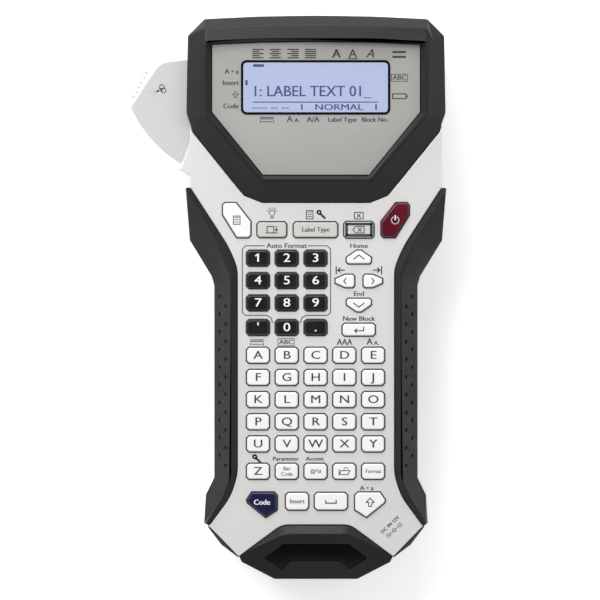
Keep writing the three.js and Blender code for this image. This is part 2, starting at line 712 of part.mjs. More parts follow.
const SHAFT = 1.6;
const POST = 1.5;
const RUN = 0.3;                     // radial running clearance

function chassis() {
  const top = CHASSIS_Z + CHASSIS_THICKNESS;
  const shape = outline([
    [-W + 5.5, PLATEN.y + 10], [-W + 5.5, bay.tail + 1], [-W + 14, bay.tail - 7],
    [-W + 14, motor.y - 11], [motor.x + 12, motor.y - 11],
    [CASSETTE.x + CASSETTE.width / 2, bay.tail - 1], [CASSETTE.x + CASSETTE.width / 2, PLATEN.y + 10],
  ]);
  const holes = [[motor, 4], [PLATEN, SHAFT + RUN], [ribbon, SHAFT + RUN],
    [PIVOT, PIVOT.radius + RUN]];
  return join(
    cut(
      plate(shape, CHASSIS_Z, top),
      ...holes.map(([{ x, y }, r]) => rod(x, y, r, CHASSIS_Z - 1, top + 1)),
    ),
    ...[idler1, idler2].map(({ x, y }) => rod(x, y, POST, top - 0.5, GEAR_Z + GEAR_THICKNESS)),
  );
}

function idler(teeth, centre, phase) {
  return gear(teeth, centre, phase).subtract(
    rod(centre.x, centre.y, POST + RUN, GEAR_Z - 1, GEAR_Z + GEAR_THICKNESS + 1),
  );
}

function shaftGear(teeth, centre, phase, low, shaft = SHAFT) {
  return gear(teeth, centre, phase).add(rod(centre.x, centre.y, shaft, low, GEAR_Z + 0.5));
}

function driveMotor() {
  const top = CHASSIS_Z - GAP;
  return join(
    rod(motor.x, motor.y, MOTOR_RADIUS, top - MOTOR_LENGTH, top - 1.5, 32),
    rod(motor.x, motor.y, 3.5, top - 2, top + 1),
  ).subtract(rod(motor.x, motor.y, SHAFT + RUN, top - 6, top + 2));
}

const TAPE_LOW = 7;
const TAPE_HIGH = 33;
const roller = { low: TAPE_LOW, high: TAPE_HIGH };

function platenRoller() {
  return rod(PLATEN.x, PLATEN.y, PLATEN.radius, roller.low, roller.high, 20)
    .subtract(rod(PLATEN.x, PLATEN.y, SHAFT + GAP, roller.low + 2, roller.high + 1));
}

function printHead() {
  const pressFace = PLATEN.y + PLATEN.radius + 0.4;
  return join(
    box(-W + 6.5, -W + 18.5, pressFace + 1, pressFace + 3.2, TAPE_LOW, CHASSIS_Z - GAP),
    box(-W + 10, -W + 16, pressFace, pressFace + 1.2, TAPE_LOW + 1, TAPE_HIGH - 1),
  );
}

function tapeCassette() {
  const { width, height, depth, x, y } = CASSETTE;
  const low = COVER_THICKNESS + 0.5;
  return cut(
    join(
      plate(rectangle(x, y, width, height, 3), low, low + depth - 8),
      plate(rectangle(x, y, width - 3, height - 3, 3), low + depth - 8.5, low + depth),
    ),
    rod(ribbon.x, ribbon.y, 3.4, low - 1, low + depth + 1),
    rod(x + 22, y + 6, 4, low - 1, low + depth + 1),
  );
}

// ---- Cutter ---------------------------------------------------------------------------

const leverArc = { radius: LEVER_REACH, tip: 204, tail: 243 };

// Points along the lever's curved edge, head side first
function leverEdge(radius, from, to) {
  const points = [];
  for (let i = 0; i <= 8; i += 1) {
    const point = polar(PIVOT, radius, from + ((to - from) * i) / 8);
    points.push([point.x, point.y]);
  }
  return points;
}

function leverOutline() {
  return outline([
    [PIVOT.x + 5, PIVOT.y, 2.5], [PIVOT.x + 4, PIVOT.y + 5, 2.5], [-W + 8, PIVOT.y + 7.6],
    [-W + 2.8, PIVOT.y + 7.6], [-W + 2.8, PIVOT.y - 0.6], [PIVOT.x - 38.6, PIVOT.y - 2.6, 4],
    ...leverEdge(leverArc.radius, leverArc.tip, leverArc.tail),
    [-W + 2.4, PIVOT.y - 47], [-W + 4.5, PIVOT.y - 14], [PIVOT.x, PIVOT.y - 5, 2.5],
  ]);
}

function cutterLever() {
  const top = LEVER_Z + LEVER_THICKNESS;
  const rimWall = 2;
  const outside = box(-W - 40, -W - 10, T, H, PADDLE_LOW - 1, top + 1);
  const hollow = outline([
    [-W - 10 - rimWall, PIVOT.y - 4.4], [PIVOT.x - 38, PIVOT.y - 5],
    ...leverEdge(leverArc.radius - rimWall, leverArc.tip, leverArc.tip + 16),
    [-W - 10 - rimWall, PIVOT.y - 40.6],
  ]);
  const rim = cut(
    plate(leverOutline(), PADDLE_LOW, top - 0.5).intersect(outside),
    plate(hollow, PADDLE_LOW - 1, LEVER_Z - 1),
  );
  const fork = box(CUTTER_PIN.x - 3, CUTTER_PIN.x + 2.2, CUTTER_PIN.y - CUTTER_PIN.radius - 0.3,
    CUTTER_PIN.y + CUTTER_PIN.radius + 0.3, LEVER_Z - 1, top + 1);
  return cut(
    join(plate(leverOutline(), LEVER_Z, top), rim),
    fork,
    rod(PIVOT.x, PIVOT.y, PIVOT.radius + RUN, LEVER_Z - 1, top + 1),
  );
}

function pivotPin() {
  return join(
    rod(PIVOT.x, PIVOT.y, PIVOT.radius, CHASSIS_Z - 1, LEVER_Z + LEVER_THICKNESS + 0.2),
    rod(PIVOT.x, PIVOT.y, PIVOT.radius + 1.6, CHASSIS_Z - 1.6, CHASSIS_Z - GAP),
  );
}

function bladeCarrier() {
  const { x, y } = CUTTER_PIN;
  return join(
    box(x - 0.7, x - 0.1, y - 1.6, y + 2, TAPE_LOW, CHASSIS_Z),
    box(x - 0.7, x + 0.7, y - 1.2, y + 1.6, CHASSIS_Z - 1, LEVER_Z - GAP),
    rod(x, y, CUTTER_PIN.radius, LEVER_Z - 1, LEVER_Z + LEVER_THICKNESS + 0.1, 12),
  );
}

function cutterBlade() {
  const x = CUTTER_PIN.x + 0.2;
  return box(x, x + 0.6, CUTTER_PIN.y - 1.6, CUTTER_PIN.y + 2, TAPE_LOW, TAPE_HIGH);
}

// ---- Assembly -------------------------------------------------------------------------

const finishes = {
  silver: { color: '#d8d7d5', roughness: 0.42, metalness: 0.15 },
  dark: { color: '#2c2a2a', roughness: 0.5, metalness: 0 },
  elastomer: { color: '#262424', roughness: 0.75, metalness: 0 },
  panel: { color: '#a4a29e', roughness: 0.45, metalness: 0.2 },
  screen: { color: '#b0badb', roughness: 0.12, metalness: 0 },
  white: { color: '#e4e3e0', roughness: 0.4, metalness: 0 },
  board: { color: '#2e5a3c', roughness: 0.5, metalness: 0 },
  rubber: { color: '#8d8c8a', roughness: 0.8, metalness: 0 },
  steel: { color: '#a9abad', roughness: 0.3, metalness: 0.9 },
  gear: { color: '#e9e6dc', roughness: 0.5, metalness: 0 },
  cell: { color: '#4c5a4e', roughness: 0.35, metalness: 0.4 },
  cassette: { color: '#37373a', roughness: 0.45, metalness: 0 },
};

const group = new THREE.Group();
group.position.y = -COVER_CENTRE_Y;

function add(name, piece, finish) {
  const { numProp, vertProperties, triVerts } = piece.getMesh();
  const geometry = new THREE.BufferGeometry();
  geometry.setAttribute('position', new THREE.BufferAttribute(vertProperties, numProp));
  geometry.setIndex(new THREE.BufferAttribute(triVerts, 1));
  geometry.computeVertexNormals();
  const mesh = new THREE.Mesh(geometry, new THREE.MeshStandardMaterial(finish));
  mesh.name = name;
  group.add(mesh);
}

add('front_case', frontCase(), finishes.silver);
add('rear_case', rearCase(), finishes.dark);
add('head_bumper', headBumper(), finishes.dark);
add('tail_bumper', tailBumper(), finishes.dark);
add('left_grip', grip(-1), finishes.elastomer);
add('right_grip', grip(1), finishes.elastomer);
add('display_panel', displayPanel(), finishes.panel);
add('lcd_window', plate(
  rectangle(FIELD_X, LCD_CENTRE_Y, LCD_WIDTH, LCD_HEIGHT, 1.6),
  PANEL_FACE - 0.7, PANEL_FACE + 0.2,
), finishes.screen);
add('lcd_module', plate(
  rectangle(FIELD_X, LCD_CENTRE_Y, LCD_WIDTH + 8, LCD_HEIGHT + 6),
  PANEL_FACE - 5.5, PANEL_FACE - 2 - GAP,
), finishes.board);
add('main_board', plate(grown(innerHole, -0.6), BUMPER_SEAT + 1.4, BUMPER_SEAT + 3), finishes.board);
add('cassette_cover', cassetteCover(), finishes.dark);
add('battery_cover', batteryCover(), finishes.dark);
add('cover_latch', coverLatch(), finishes.dark);
add('key_mat', keyMat(), finishes.rubber);
add('key_board', keyBoard(), finishes.board);
add('dc_jack', dcJack(), finishes.dark);
for (const [name, { hole, color }] of Object.entries(singleKeys)) {
  add(name, key(hole), { color, roughness: 0.35, metalness: 0 });
}
for (const [name, row] of Object.entries(keyRows)) {
  add(name, keyStrip(row), { color: row.color, roughness: 0.35, metalness: 0 });
}
for (let index = 0; index < 4; index += 1) {
  add(`aa_cell_pair_${index + 1}`, cellPair(index), finishes.cell);
}
add('battery_contact_tail', contactPlate(tray.tail + 1.2), finishes.steel);
add('battery_contact_head', contactPlate(tray.head - 1.2), finishes.steel);
add('chassis', chassis(), finishes.steel);
add('drive_motor', driveMotor(), finishes.steel);
add('motor_pinion', shaftGear(PINION_TEETH, motor, pinionPhase, CHASSIS_Z - 5), finishes.gear);
add('idler_gear_1', idler(IDLER_1_TEETH, idler1, idler1Phase), finishes.gear);
add('idler_gear_2', idler(IDLER_2_TEETH, idler2, idler2Phase), finishes.gear);
add('platen_gear', shaftGear(PLATEN.teeth, PLATEN, platenPhase, roller.low + 3), finishes.gear);
add('platen_roller', platenRoller(), finishes.dark);
add('ribbon_spindle', shaftGear(RIBBON_TEETH, ribbon, ribbonPhase, 12), finishes.gear);
add('print_head', printHead(), finishes.steel);
add('tape_cassette', tapeCassette(), finishes.cassette);
add('cutter_lever', cutterLever(), finishes.white);
add('cutter_pivot_pin', pivotPin(), finishes.steel);
add('blade_carrier', bladeCarrier(), finishes.dark);
add('cutter_blade', cutterBlade(), finishes.steel);

export default group;
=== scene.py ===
"""A hand-held label maker with its keyboard handle, display head and cutter lever.

Its finished surfaces are built around the CAD frame, with one operator for each group of pieces.
"""

import json
import math
from functools import partial

import bmesh
import bpy
from bpy.props import FloatProperty, FloatVectorProperty, PointerProperty
from mathutils import Matrix, Vector

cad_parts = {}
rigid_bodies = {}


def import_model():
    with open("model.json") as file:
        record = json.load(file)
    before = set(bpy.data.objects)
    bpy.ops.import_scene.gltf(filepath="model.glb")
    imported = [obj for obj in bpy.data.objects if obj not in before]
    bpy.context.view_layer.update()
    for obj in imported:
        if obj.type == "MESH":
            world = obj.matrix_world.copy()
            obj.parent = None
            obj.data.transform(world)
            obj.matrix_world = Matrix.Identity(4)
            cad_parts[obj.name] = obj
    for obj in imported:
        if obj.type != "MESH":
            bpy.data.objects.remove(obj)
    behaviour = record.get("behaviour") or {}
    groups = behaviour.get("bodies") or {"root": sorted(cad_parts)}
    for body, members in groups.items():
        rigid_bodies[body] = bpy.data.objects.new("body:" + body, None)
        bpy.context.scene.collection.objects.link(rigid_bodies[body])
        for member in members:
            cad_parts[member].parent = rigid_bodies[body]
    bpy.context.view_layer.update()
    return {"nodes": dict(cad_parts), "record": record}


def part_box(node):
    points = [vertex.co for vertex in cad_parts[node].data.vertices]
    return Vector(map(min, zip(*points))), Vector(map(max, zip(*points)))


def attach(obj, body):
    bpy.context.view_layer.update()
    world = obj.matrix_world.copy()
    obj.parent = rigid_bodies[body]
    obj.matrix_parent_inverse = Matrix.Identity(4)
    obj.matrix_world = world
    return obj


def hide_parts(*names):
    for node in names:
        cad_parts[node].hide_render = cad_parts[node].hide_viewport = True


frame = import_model()

bl_info = {
    "name": "Label Maker",
    "version": (1, 0, 0),
    "blender": (4, 5, 0),
    "location": "3D View > Sidebar > Label Maker",
    "description": "Builds the finished surfaces of a hand-held label maker around its frame",
    "category": "Add Mesh",
}

MM = 0.001
NODES = frame["nodes"]
BODY_OF = {node: body for body, nodes in frame["record"]["behaviour"]["bodies"].items() for node in nodes}
SLOT_OF = {row["node"]: row["material_slot"] for row in frame["record"]["subparts"]}
KEY_NODES = [node for node in NODES if node.endswith("_key") or "_row_" in node]
LETTER_ROWS = ("ABCDE", "FGHIJ", "KLMNO", "PQRST", "UVWXY")
NUMBER_ROWS = ("123", "456", "789")

# Corners of a CAD solid nearer than this are merged, and folds flatter than this are taken out.
MERGE_DISTANCE = 0.02 * MM
FLAT_ANGLE = math.radians(0.6)

# Edges that turn less than these are shaded smooth. A cut face with more corners is split in triangles.
SMOOTH_ANGLE = math.radians(40)
SHELL_SMOOTH_ANGLE = math.radians(50)
MOST_CORNERS = 8
BUMP_DISTANCE = 0.02 * MM

# Print, the dark rings of painted shade round the keys' openings, and the frame round the screen.
SHADE_RING_OUTSIDE = 1.08 * MM
SHADE_RING_WIDTH = 0.56 * MM
ROOM_MARGIN = 0.3 * MM
LETTER_BOLD = 0.14 * MM
WORD_BOLD = 0.18 * MM
LINE_WEIGHT = 1.35
SCREEN_BORDER = 0.3 * MM
SCREEN_BORDER_WIDTH = 1.05 * MM
SCREEN_BORDER_CORNER = 2.6 * MM
SCREEN_BORDER_HEIGHT = 0.08 * MM

# Places in millimetres. Those of the lips, the badge and the tail screws are counted from the tail.
LIP_WIDE_X = 49.1
LIP_CORNERS = (
    (LIP_WIDE_X, 24.4), (LIP_WIDE_X + 0.7, 24.2), (43.6, 16.1), (35.8, 10.2), (35.2, 10.8), (42.2, 17.4),
)
LIP_BOTTOM, LIP_TOP = 46.5, 49.2
BADGE_HALF = ((15.2, 16.1), (23.3, 9.8), (15.5, 4.8), (12.2, 8.1), (10.8, 8.6))
BADGE_THICK = 0.4
BADGE_SLOPE = 8 / 22.3
BADGE_CREST_Y, BADGE_CREST_Z = 21.3, 52.25
DIMPLE_COLUMNS = ((44.5, -85.2, 45.4), (41.6, -89.7, 49.1))
DIMPLES_IN_COLUMN = 10
LEVER_EYE = (-73, 9.8)
RIB_COUNT = 6
RIDGE_COUNT = 6
SCREW_X, SCREW_INSET = 38.3, 2
TAIL_SCREW_X, TAIL_SCREW_Y = 24, 14

# The stage, in metres. Each lamp has a name, a place, a power in watts and a width.
LAMPS = (
    ("key_light", (-0.5, 0.5, 1.0), 11.0, 0.7),
    ("fill_light", (0.7, 0.1, 0.9), 1.5, 0.8),
    ("head_light", (-0.1, 0.9, 0.55), 4.5, 0.5),
)
SKY_FADE = {"From Min": 0.35, "From Max": 0.95, "To Min": 1.15, "To Max": 0.12}
FLOOR_GLOW = {"Emission_Color": (1, 1, 1, 1), "Emission_Strength": 0.42}
FLOOR_HALF_WIDTH = 2.0
FLOOR_Z = -0.4 * MM
CAMERA_X, CAMERA_Y = -7.36 * MM, -86.74 * MM
FACE_Z = 50 * MM

# The camera's sensor, in millimetres.
SENSOR_WIDTH = 36


def low(node):
    """Lowest corner of a CAD node."""
    return Vector(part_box(node)[0])


def high(node):
    """Highest corner of a CAD node."""
    return Vector(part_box(node)[1])


def centre(node):
    """Middle of a CAD node's box."""
    return (low(node) + high(node)) / 2


# ---- Settings -----------------------------------------------------------------------


def colour(name, description, default):
    """A colour that a user may change."""
    return FloatVectorProperty(
        name=name, description=description, subtype="COLOR", default=default, min=0, max=1
    )


def length(name, description, default):
    """A length in metres that a user may change."""
    return FloatProperty(name=name, description=description, unit="LENGTH", default=default, min=0)


class LabelMakerSizes(bpy.types.PropertyGroup):
    """Sizes of the surface detail."""

    case_round: length("Case edge", "Rounding of the case's edges", 0.3 * MM)
    bumper_round: length("Bumper edge", "Rounding of the bumpers' edges", 0.7 * MM)
    key_round: length("Key edge", "Rounding of the keys' edges", 0.16 * MM)
    dimple_radius: length("Dimple", "Radius of a grip dimple", 0.95 * MM)
    dimple_pitch: length("Dimple pitch", "Distance between dimples along the grip", 8.15 * MM)
    print_height: length("Print height", "Thickness of the printed legends", 0.03 * MM)
    screw_radius: length("Screw head", "Radius of a case screw's head", 2.9 * MM)
    camera_distance: length("Camera distance", "Distance of the camera from the face", 1.9)
    view_width: length("View width", "Width that the camera takes in at the face", 0.2762)


class LabelMakerColours(bpy.types.PropertyGroup):
    """Colours of the visible finishes."""

    silver: colour("Silver", "Painted front case", (0.655, 0.65, 0.645))
    bumper: colour("Bumper", "Head and tail bumpers", (0.0085, 0.008, 0.008))
    grip: colour("Grip", "Elastomer grips", (0.009, 0.0085, 0.0085))
    panel: colour("Panel", "Panel around the display", (0.36, 0.355, 0.34))
    screen: colour("Screen", "Lit background of the display", (0.37, 0.42, 0.60))
    white: colour("White keys", "Letter keys", (0.74, 0.74, 0.73))
    grey: colour("Grey keys", "Function keys", (0.50, 0.50, 0.48))
    black: colour("Black keys", "Number and arrow keys", (0.006, 0.006, 0.007))
    navy: colour("Navy key", "Code key and second legends", (0.004, 0.006, 0.035))
    red: colour("Red key", "Power key", (0.075, 0.001, 0.008))
    lever: colour("Lever", "Cutter lever", (0.5, 0.497, 0.493))


def sizes():
    """The size settings."""
    return bpy.context.scene.label_maker_sizes


def colours():
    """The colour settings."""
    return bpy.context.scene.label_maker_colours


# ---- Node groups --------------------------------------------------------------------


def new_group(name, inputs, outputs):
    """A shader node group with its named sockets, and its input and output nodes."""
    group = bpy.data.node_groups.new(name, "ShaderNodeTree")
    for label, kind, value in inputs:
        socket = group.interface.new_socket(label, in_out="INPUT", socket_type=kind)
        if value is not None:
            socket.default_value = value
    for label, kind in outputs:
        group.interface.new_socket(label, in_out="OUTPUT", socket_type=kind)
    return group, group.nodes.new("NodeGroupInput"), group.nodes.new("NodeGroupOutput")


def noise(group, vector, scale, detail):
    """A noise texture in a group, with its scale linked or set."""
    node = group.nodes.new("ShaderNodeTexNoise")
    node.inputs["Detail"].default_value = detail
    group.links.new(vector, node.inputs["Vector"])
    group.links.new(scale, node.inputs["Scale"])
    return node.outputs["Fac"]


def remap(group, value, new_low, new_high, span=(0.3, 0.7)):
    """A value spread between two new limits."""
    node = group.nodes.new("ShaderNodeMapRange")
    node.inputs["From Min"].default_value, node.inputs["From Max"].default_value = span
    group.links.new(value, node.inputs["Value"])
    for socket, limit in (("To Min", new_low), ("To Max", new_high)):
        if isinstance(limit, float):
            node.inputs[socket].default_value = limit
        else:
            group.links.new(limit, node.inputs[socket])
    return node.outputs["Result"]


def mix_colour(group, factor, first, second):
    """A colour mixed between two."""
    node = group.nodes.new("ShaderNodeMix")
    node.data_type = "RGBA"
    group.links.new(factor, node.inputs["Factor"])
    group.links.new(first, node.inputs["A"])
    group.links.new(second, node.inputs["B"])
    return node.outputs["Result"]


def moulded_group():
    """Fine moulded texture with slow tone changes and rubbed spots in the gloss."""
    found = bpy.data.node_groups.get("moulded_surface")
    if found:
        return found
    group, inputs, outputs = new_group(
        "moulded_surface",
        [
            ("Vector", "NodeSocketVector", None),
            ("Base", "NodeSocketColor", (0.5, 0.5, 0.5, 1)),
            ("Tint", "NodeSocketColor", (0.5, 0.5, 0.5, 1)),
            ("Grain Scale", "NodeSocketFloat", 2500.0),
            ("Patch Scale", "NodeSocketFloat", 60.0),
            ("Roughness Low", "NodeSocketFloat", 0.4),
            ("Roughness High", "NodeSocketFloat", 0.5),
        ],
        [("Color", "NodeSocketColor"), ("Roughness", "NodeSocketFloat"), ("Height", "NodeSocketFloat")],
    )
    place = inputs.outputs["Vector"]
    grain = noise(group, place, inputs.outputs["Grain Scale"], 2.0)
    patches = noise(group, place, inputs.outputs["Patch Scale"], 5.0)
    share = group.nodes.new("ShaderNodeMath")
    share.operation = "MULTIPLY_ADD"
    group.links.new(grain, share.inputs[0])
    share.inputs[1].default_value = 0.5
    group.links.new(patches, share.inputs[2])
    tone = remap(group, share.outputs[0], 0.0, 1.0, (0.5, 1.0))
    mixed = mix_colour(group, tone, inputs.outputs["Base"], inputs.outputs["Tint"])
    group.links.new(mixed, outputs.inputs["Color"])
    gloss = remap(group, patches, inputs.outputs["Roughness Low"], inputs.outputs["Roughness High"])
    group.links.new(gloss, outputs.inputs["Roughness"])
    group.links.new(grain, outputs.inputs["Height"])
    return group


def brushed_group():
    """Fine lines along one direction, for drawn or brushed metal."""
    found = bpy.data.node_groups.get("brushed_metal")
    if found:
        return found
    group, inputs, outputs = new_group(
        "brushed_metal",
        [
            ("Vector", "NodeSocketVector", None),
            ("Base", "NodeSocketColor", (0.5, 0.5, 0.5, 1)),
            ("Tint", "NodeSocketColor", (0.5, 0.5, 0.5, 1)),
            ("Line Scale", "NodeSocketFloat", 900.0),
        ],
        [("Color", "NodeSocketColor"), ("Roughness", "NodeSocketFloat"), ("Height", "NodeSocketFloat")],
    )
    stretch = group.nodes.new("ShaderNodeMapping")
    stretch.inputs["Scale"].default_value = (1.0, 0.03, 1.0)
    group.links.new(inputs.outputs["Vector"], stretch.inputs["Vector"])
    lines = noise(group, stretch.outputs["Vector"], inputs.outputs["Line Scale"], 4.0)
    tone = remap(group, lines, 0.0, 1.0)
    mixed = mix_colour(group, tone, inputs.outputs["Base"], inputs.outputs["Tint"])
    group.links.new(mixed, outputs.inputs["Color"])
    group.links.new(remap(group, lines, 0.24, 0.42), outputs.inputs["Roughness"])
    group.links.new(lines, outputs.inputs["Height"])
    return group


# ---- Materials ----------------------------------------------------------------------


def shaded(name, group, values, bump, **shader_values):
    """A material whose surface comes from one of the groups, with its other values on the shader."""
    found = bpy.data.materials.get(name)
    if found:
        return found
    material = bpy.data.materials.new(name)
    material.use_nodes = True
    tree = material.node_tree
    shader = tree.nodes["Principled BSDF"]
    place = tree.nodes.new("ShaderNodeTexCoord")
    surface = tree.nodes.new("ShaderNodeGroup")
    surface.node_tree = group
    tree.links.new(place.outputs["Object"], surface.inputs["Vector"])
    for socket, value in values.items():
        surface.inputs[socket].default_value = value
    tree.links.new(surface.outputs["Color"], shader.inputs["Base Color"])
    tree.links.new(surface.outputs["Roughness"], shader.inputs["Roughness"])
    relief = tree.nodes.new("ShaderNodeBump")
    relief.inputs["Strength"].default_value = bump
    relief.inputs["Distance"].default_value = BUMP_DISTANCE
    tree.links.new(surface.outputs["Height"], relief.inputs["Height"])
    tree.links.new(relief.outputs["Normal"], shader.inputs["Normal"])
    for socket, value in shader_values.items():
        shader.inputs[socket.replace("_", " ")].default_value = value
    return material


def opaque(rgb, factor=1.0):
    """A colour with its alpha, made lighter or darker by a factor."""
    return tuple(min(1.0, part * factor) for part in rgb) + (1.0,)


def plastic(name, rgb, gloss, vary=0.94, grain=2500.0, patch=60.0, bump=0.25, **shader_values):
    """Moulded plastic or rubber, with gloss as its lowest and highest roughness."""
    values = {
        "Base": opaque(rgb),
        "Tint": opaque(rgb, vary),
        "Grain Scale": grain,
        "Patch Scale": patch,
        "Roughness Low": gloss[0],
        "Roughness High": gloss[1],
    }
    return shaded(name, moulded_group(), values, bump, **shader_values)


def metal(name, rgb, lines=900.0, bump=0.2):
    """Brushed metal."""
    values = {"Base": opaque(rgb), "Tint": opaque(rgb, 0.8), "Line Scale": lines}
    return shaded(name, brushed_group(), values, bump, Metallic=1.0)


def satin_key(name, rgb, vary):
    """Key cap with a soft shine."""
    finish = {"grain": 3000.0, "patch": 90.0, "bump": 0.1, "Coat_Weight": 0.15}
    return plastic(name, rgb, gloss=(0.3, 0.4), vary=vary, **finish)


def glossy_key(name, rgb, vary):
    """Key cap with a clear coat."""
    finish = {"grain": 2500.0, "patch": 80.0, "bump": 0.08, "Coat_Weight": 0.4}
    return plastic(name, rgb, gloss=(0.16, 0.26), vary=vary, **finish)


def ink(name, rgb, gloss, vary, bump=0.05):
    """Printed ink, with a grain finer than the plastics'."""
    return plastic(name, rgb, gloss=gloss, vary=vary, grain=5000.0, patch=200.0, bump=bump)


def silver_paint():
    return plastic(
        "silver_paint", colours().silver,
        gloss=(0.34, 0.42), vary=0.965, grain=5200.0, patch=24.0, bump=0.12, Metallic=0.22,
    )


def bumper_plastic():
    return plastic(
        "bumper_plastic", colours().bumper,
        gloss=(0.34, 0.46), vary=1.3, grain=1900.0, patch=45.0, bump=0.3, Specular_IOR_Level=0.25,
    )


def rear_plastic():
    return plastic(
        "rear_plastic", opaque(colours().bumper, 2.2)[:3],
        gloss=(0.5, 0.62), vary=1.25, grain=1500.0, patch=40.0, bump=0.45,
    )


def elastomer():
    return plastic(
        "elastomer", colours().grip,
        gloss=(0.5, 0.66), vary=1.5, grain=2600.0, patch=70.0, bump=0.5, Specular_IOR_Level=0.25,
    )


def panel_satin():
    return plastic(
        "panel_satin", colours().panel,
        gloss=(0.36, 0.44), vary=0.95, grain=4200.0, patch=26.0, bump=0.14, Metallic=0.3,
    )


def white_key():
    return satin_key("white_key", colours().white, 0.97)


def grey_key():
    return satin_key("grey_key", colours().grey, 0.95)


def black_key():
    return glossy_key("black_key", colours().black, 1.5)


def navy_key():
    return glossy_key("navy_key", colours().navy, 1.4)


def red_key():
    return glossy_key("red_key", colours().red, 1.3)


def lever_plastic():
    return plastic(
        "lever_plastic", colours().lever,
        gloss=(0.34, 0.44), vary=0.965, grain=2400.0, patch=50.0, bump=0.15,
    )


def lever_mark():
    return plastic(
        "lever_mark", opaque(colours().lever, 0.88)[:3],
        gloss=(0.4, 0.5), vary=0.96, grain=2400.0, patch=50.0, bump=0.1,
    )


def gloss_black():
    return plastic(
        "gloss_black", (0.0015, 0.0015, 0.0015),
        gloss=(0.22, 0.3), vary=1.6, grain=1500.0, patch=40.0, bump=0.03, Specular_IOR_Level=0.12,
    )


# Dark ink for the print; the same material paints the shade rings round the key openings.
def dark_ink_and_painted_shade():
    return ink("dark_ink_and_painted_shade", (0.022, 0.022, 0.024), gloss=(0.45, 0.55), vary=1.4)


def white_ink():
    return ink("white_ink", (0.78, 0.78, 0.77), gloss=(0.4, 0.5), vary=0.95)


def navy_ink():
    return ink("navy_ink", (0.01, 0.012, 0.075), gloss=(0.42, 0.52), vary=1.3)


def lcd_screen():
    return plastic(
        "lcd_screen", colours().screen,
        gloss=(0.1, 0.16), vary=0.96, grain=900.0, patch=30.0, bump=0.04, Coat_Weight=0.8,
    )


def screen_ink():
    return ink("screen_ink", (0.05, 0.06, 0.16), gloss=(0.2, 0.3), vary=1.3, bump=0.03)


def circuit_board():
    return plastic(
        "circuit_board", (0.03, 0.12, 0.05),
        gloss=(0.2, 0.35), vary=1.5, grain=700.0, patch=180.0, bump=0.4, Coat_Weight=0.3,
    )


def mat_rubber():
    return plastic(
        "mat_rubber", (0.02, 0.02, 0.021),
        gloss=(0.6, 0.75), vary=1.4, grain=2200.0, patch=90.0, bump=0.4,
    )


def gear_acetal():
    return plastic(
        "gear_acetal", (0.76, 0.73, 0.64),
        gloss=(0.3, 0.42), vary=0.94, grain=1800.0, patch=120.0, bump=0.12,
    )


def cell_sleeve():
    return plastic(
        "cell_sleeve", (0.03, 0.05, 0.045),
        gloss=(0.2, 0.3), vary=1.3, grain=800.0, patch=60.0, bump=0.05, Coat_Weight=0.5,
    )


def cassette_plastic():
    return plastic(
        "cassette_plastic", (0.035, 0.035, 0.04),
        gloss=(0.3, 0.42), vary=1.4, grain=1800.0, patch=60.0, bump=0.2,
    )


def roller_rubber():
    return plastic(
        "roller_rubber", (0.02, 0.02, 0.02),
        gloss=(0.6, 0.7), vary=1.3, grain=3000.0, patch=150.0, bump=0.4,
    )


def floor_white():
    return plastic("floor_white", (0.9, 0.9, 0.9), gloss=(0.6, 0.7), vary=0.99, **FLOOR_GLOW)


def steel():
    return metal("steel", (0.56, 0.57, 0.58))


SLOT_FINISH = {
    "silver_case": silver_paint,
    "dark_case": rear_plastic,
    "bumper": bumper_plastic,
    "grip": elastomer,
    "panel": panel_satin,
    "lcd": lcd_screen,
    "board": circuit_board,
    "mat": mat_rubber,
    "key_white": white_key,
    "key_grey": grey_key,
    "key_black": black_key,
    "key_navy": navy_key,
    "key_red": red_key,
    "cell": cell_sleeve,
    "steel": steel,
    "gear_plastic": gear_acetal,
    "roller": roller_rubber,
    "cassette": cassette_plastic,
    "lever_white": lever_plastic,
}

# ---- Making pieces ------------------------------------------------------------------


def settle(name, bm, material, body, smooth_angle=SMOOTH_ANGLE):
    """A finished piece from a bmesh, riding on its body."""
    mesh = bpy.data.meshes.new(name)
    bm.to_mesh(mesh)
    bm.free()
    mesh.materials.append(material)
    for face in mesh.polygons:
        face.use_smooth = True
    mesh.set_sharp_from_angle(angle=smooth_angle)
    piece = bpy.data.objects.new(name, mesh)
    bpy.context.scene.collection.objects.link(piece)
    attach(piece, body)
    return piece


def merged_copy(node):
    """The merged solid of a CAD node, with its flat faces whole again."""
    bm = bmesh.new()
    bm.from_mesh(NODES[node].data)
    bmesh.ops.remove_doubles(bm, verts=bm.verts, dist=MERGE_DISTANCE)
    bmesh.ops.dissolve_limit(bm, angle_limit=FLAT_ANGLE, verts=bm.verts, edges=bm.edges)
    return bm


def inside(edge, rooms):
    """True if the edge's middle lies over one of the flat rooms."""
    middle = (edge.verts[0].co + edge.verts[1].co) / 2
    return any(x0 < middle.x < x1 and y0 < middle.y < y1 for x0, y0, x1, y1 in rooms)


def round_edges(bm, width, segments=2, angle=24, rooms=()):
    """Rounds every edge that turns more than the angle, except over the given rooms."""
    sharp = [
        edge
        for edge in bm.edges
        if len(edge.link_faces) == 2
        and edge.calc_face_angle(0) > math.radians(angle)
        and not inside(edge, rooms)
    ]
    bmesh.ops.bevel(
        bm,
        geom=sharp,
        offset=width,
        offset_type="OFFSET",
        segments=segments,
        profile=0.5,
        affect="EDGES",
        clamp_overlap=False,
        loop_slide=True,
        material=-1,
    )


def weigh_normals(piece):
    """Keeps broad flat faces flat beside their rounded edges."""
    normals = piece.modifiers.new("flat_faces", "WEIGHTED_NORMAL")
    normals.keep_sharp = True
    normals.weight = 60


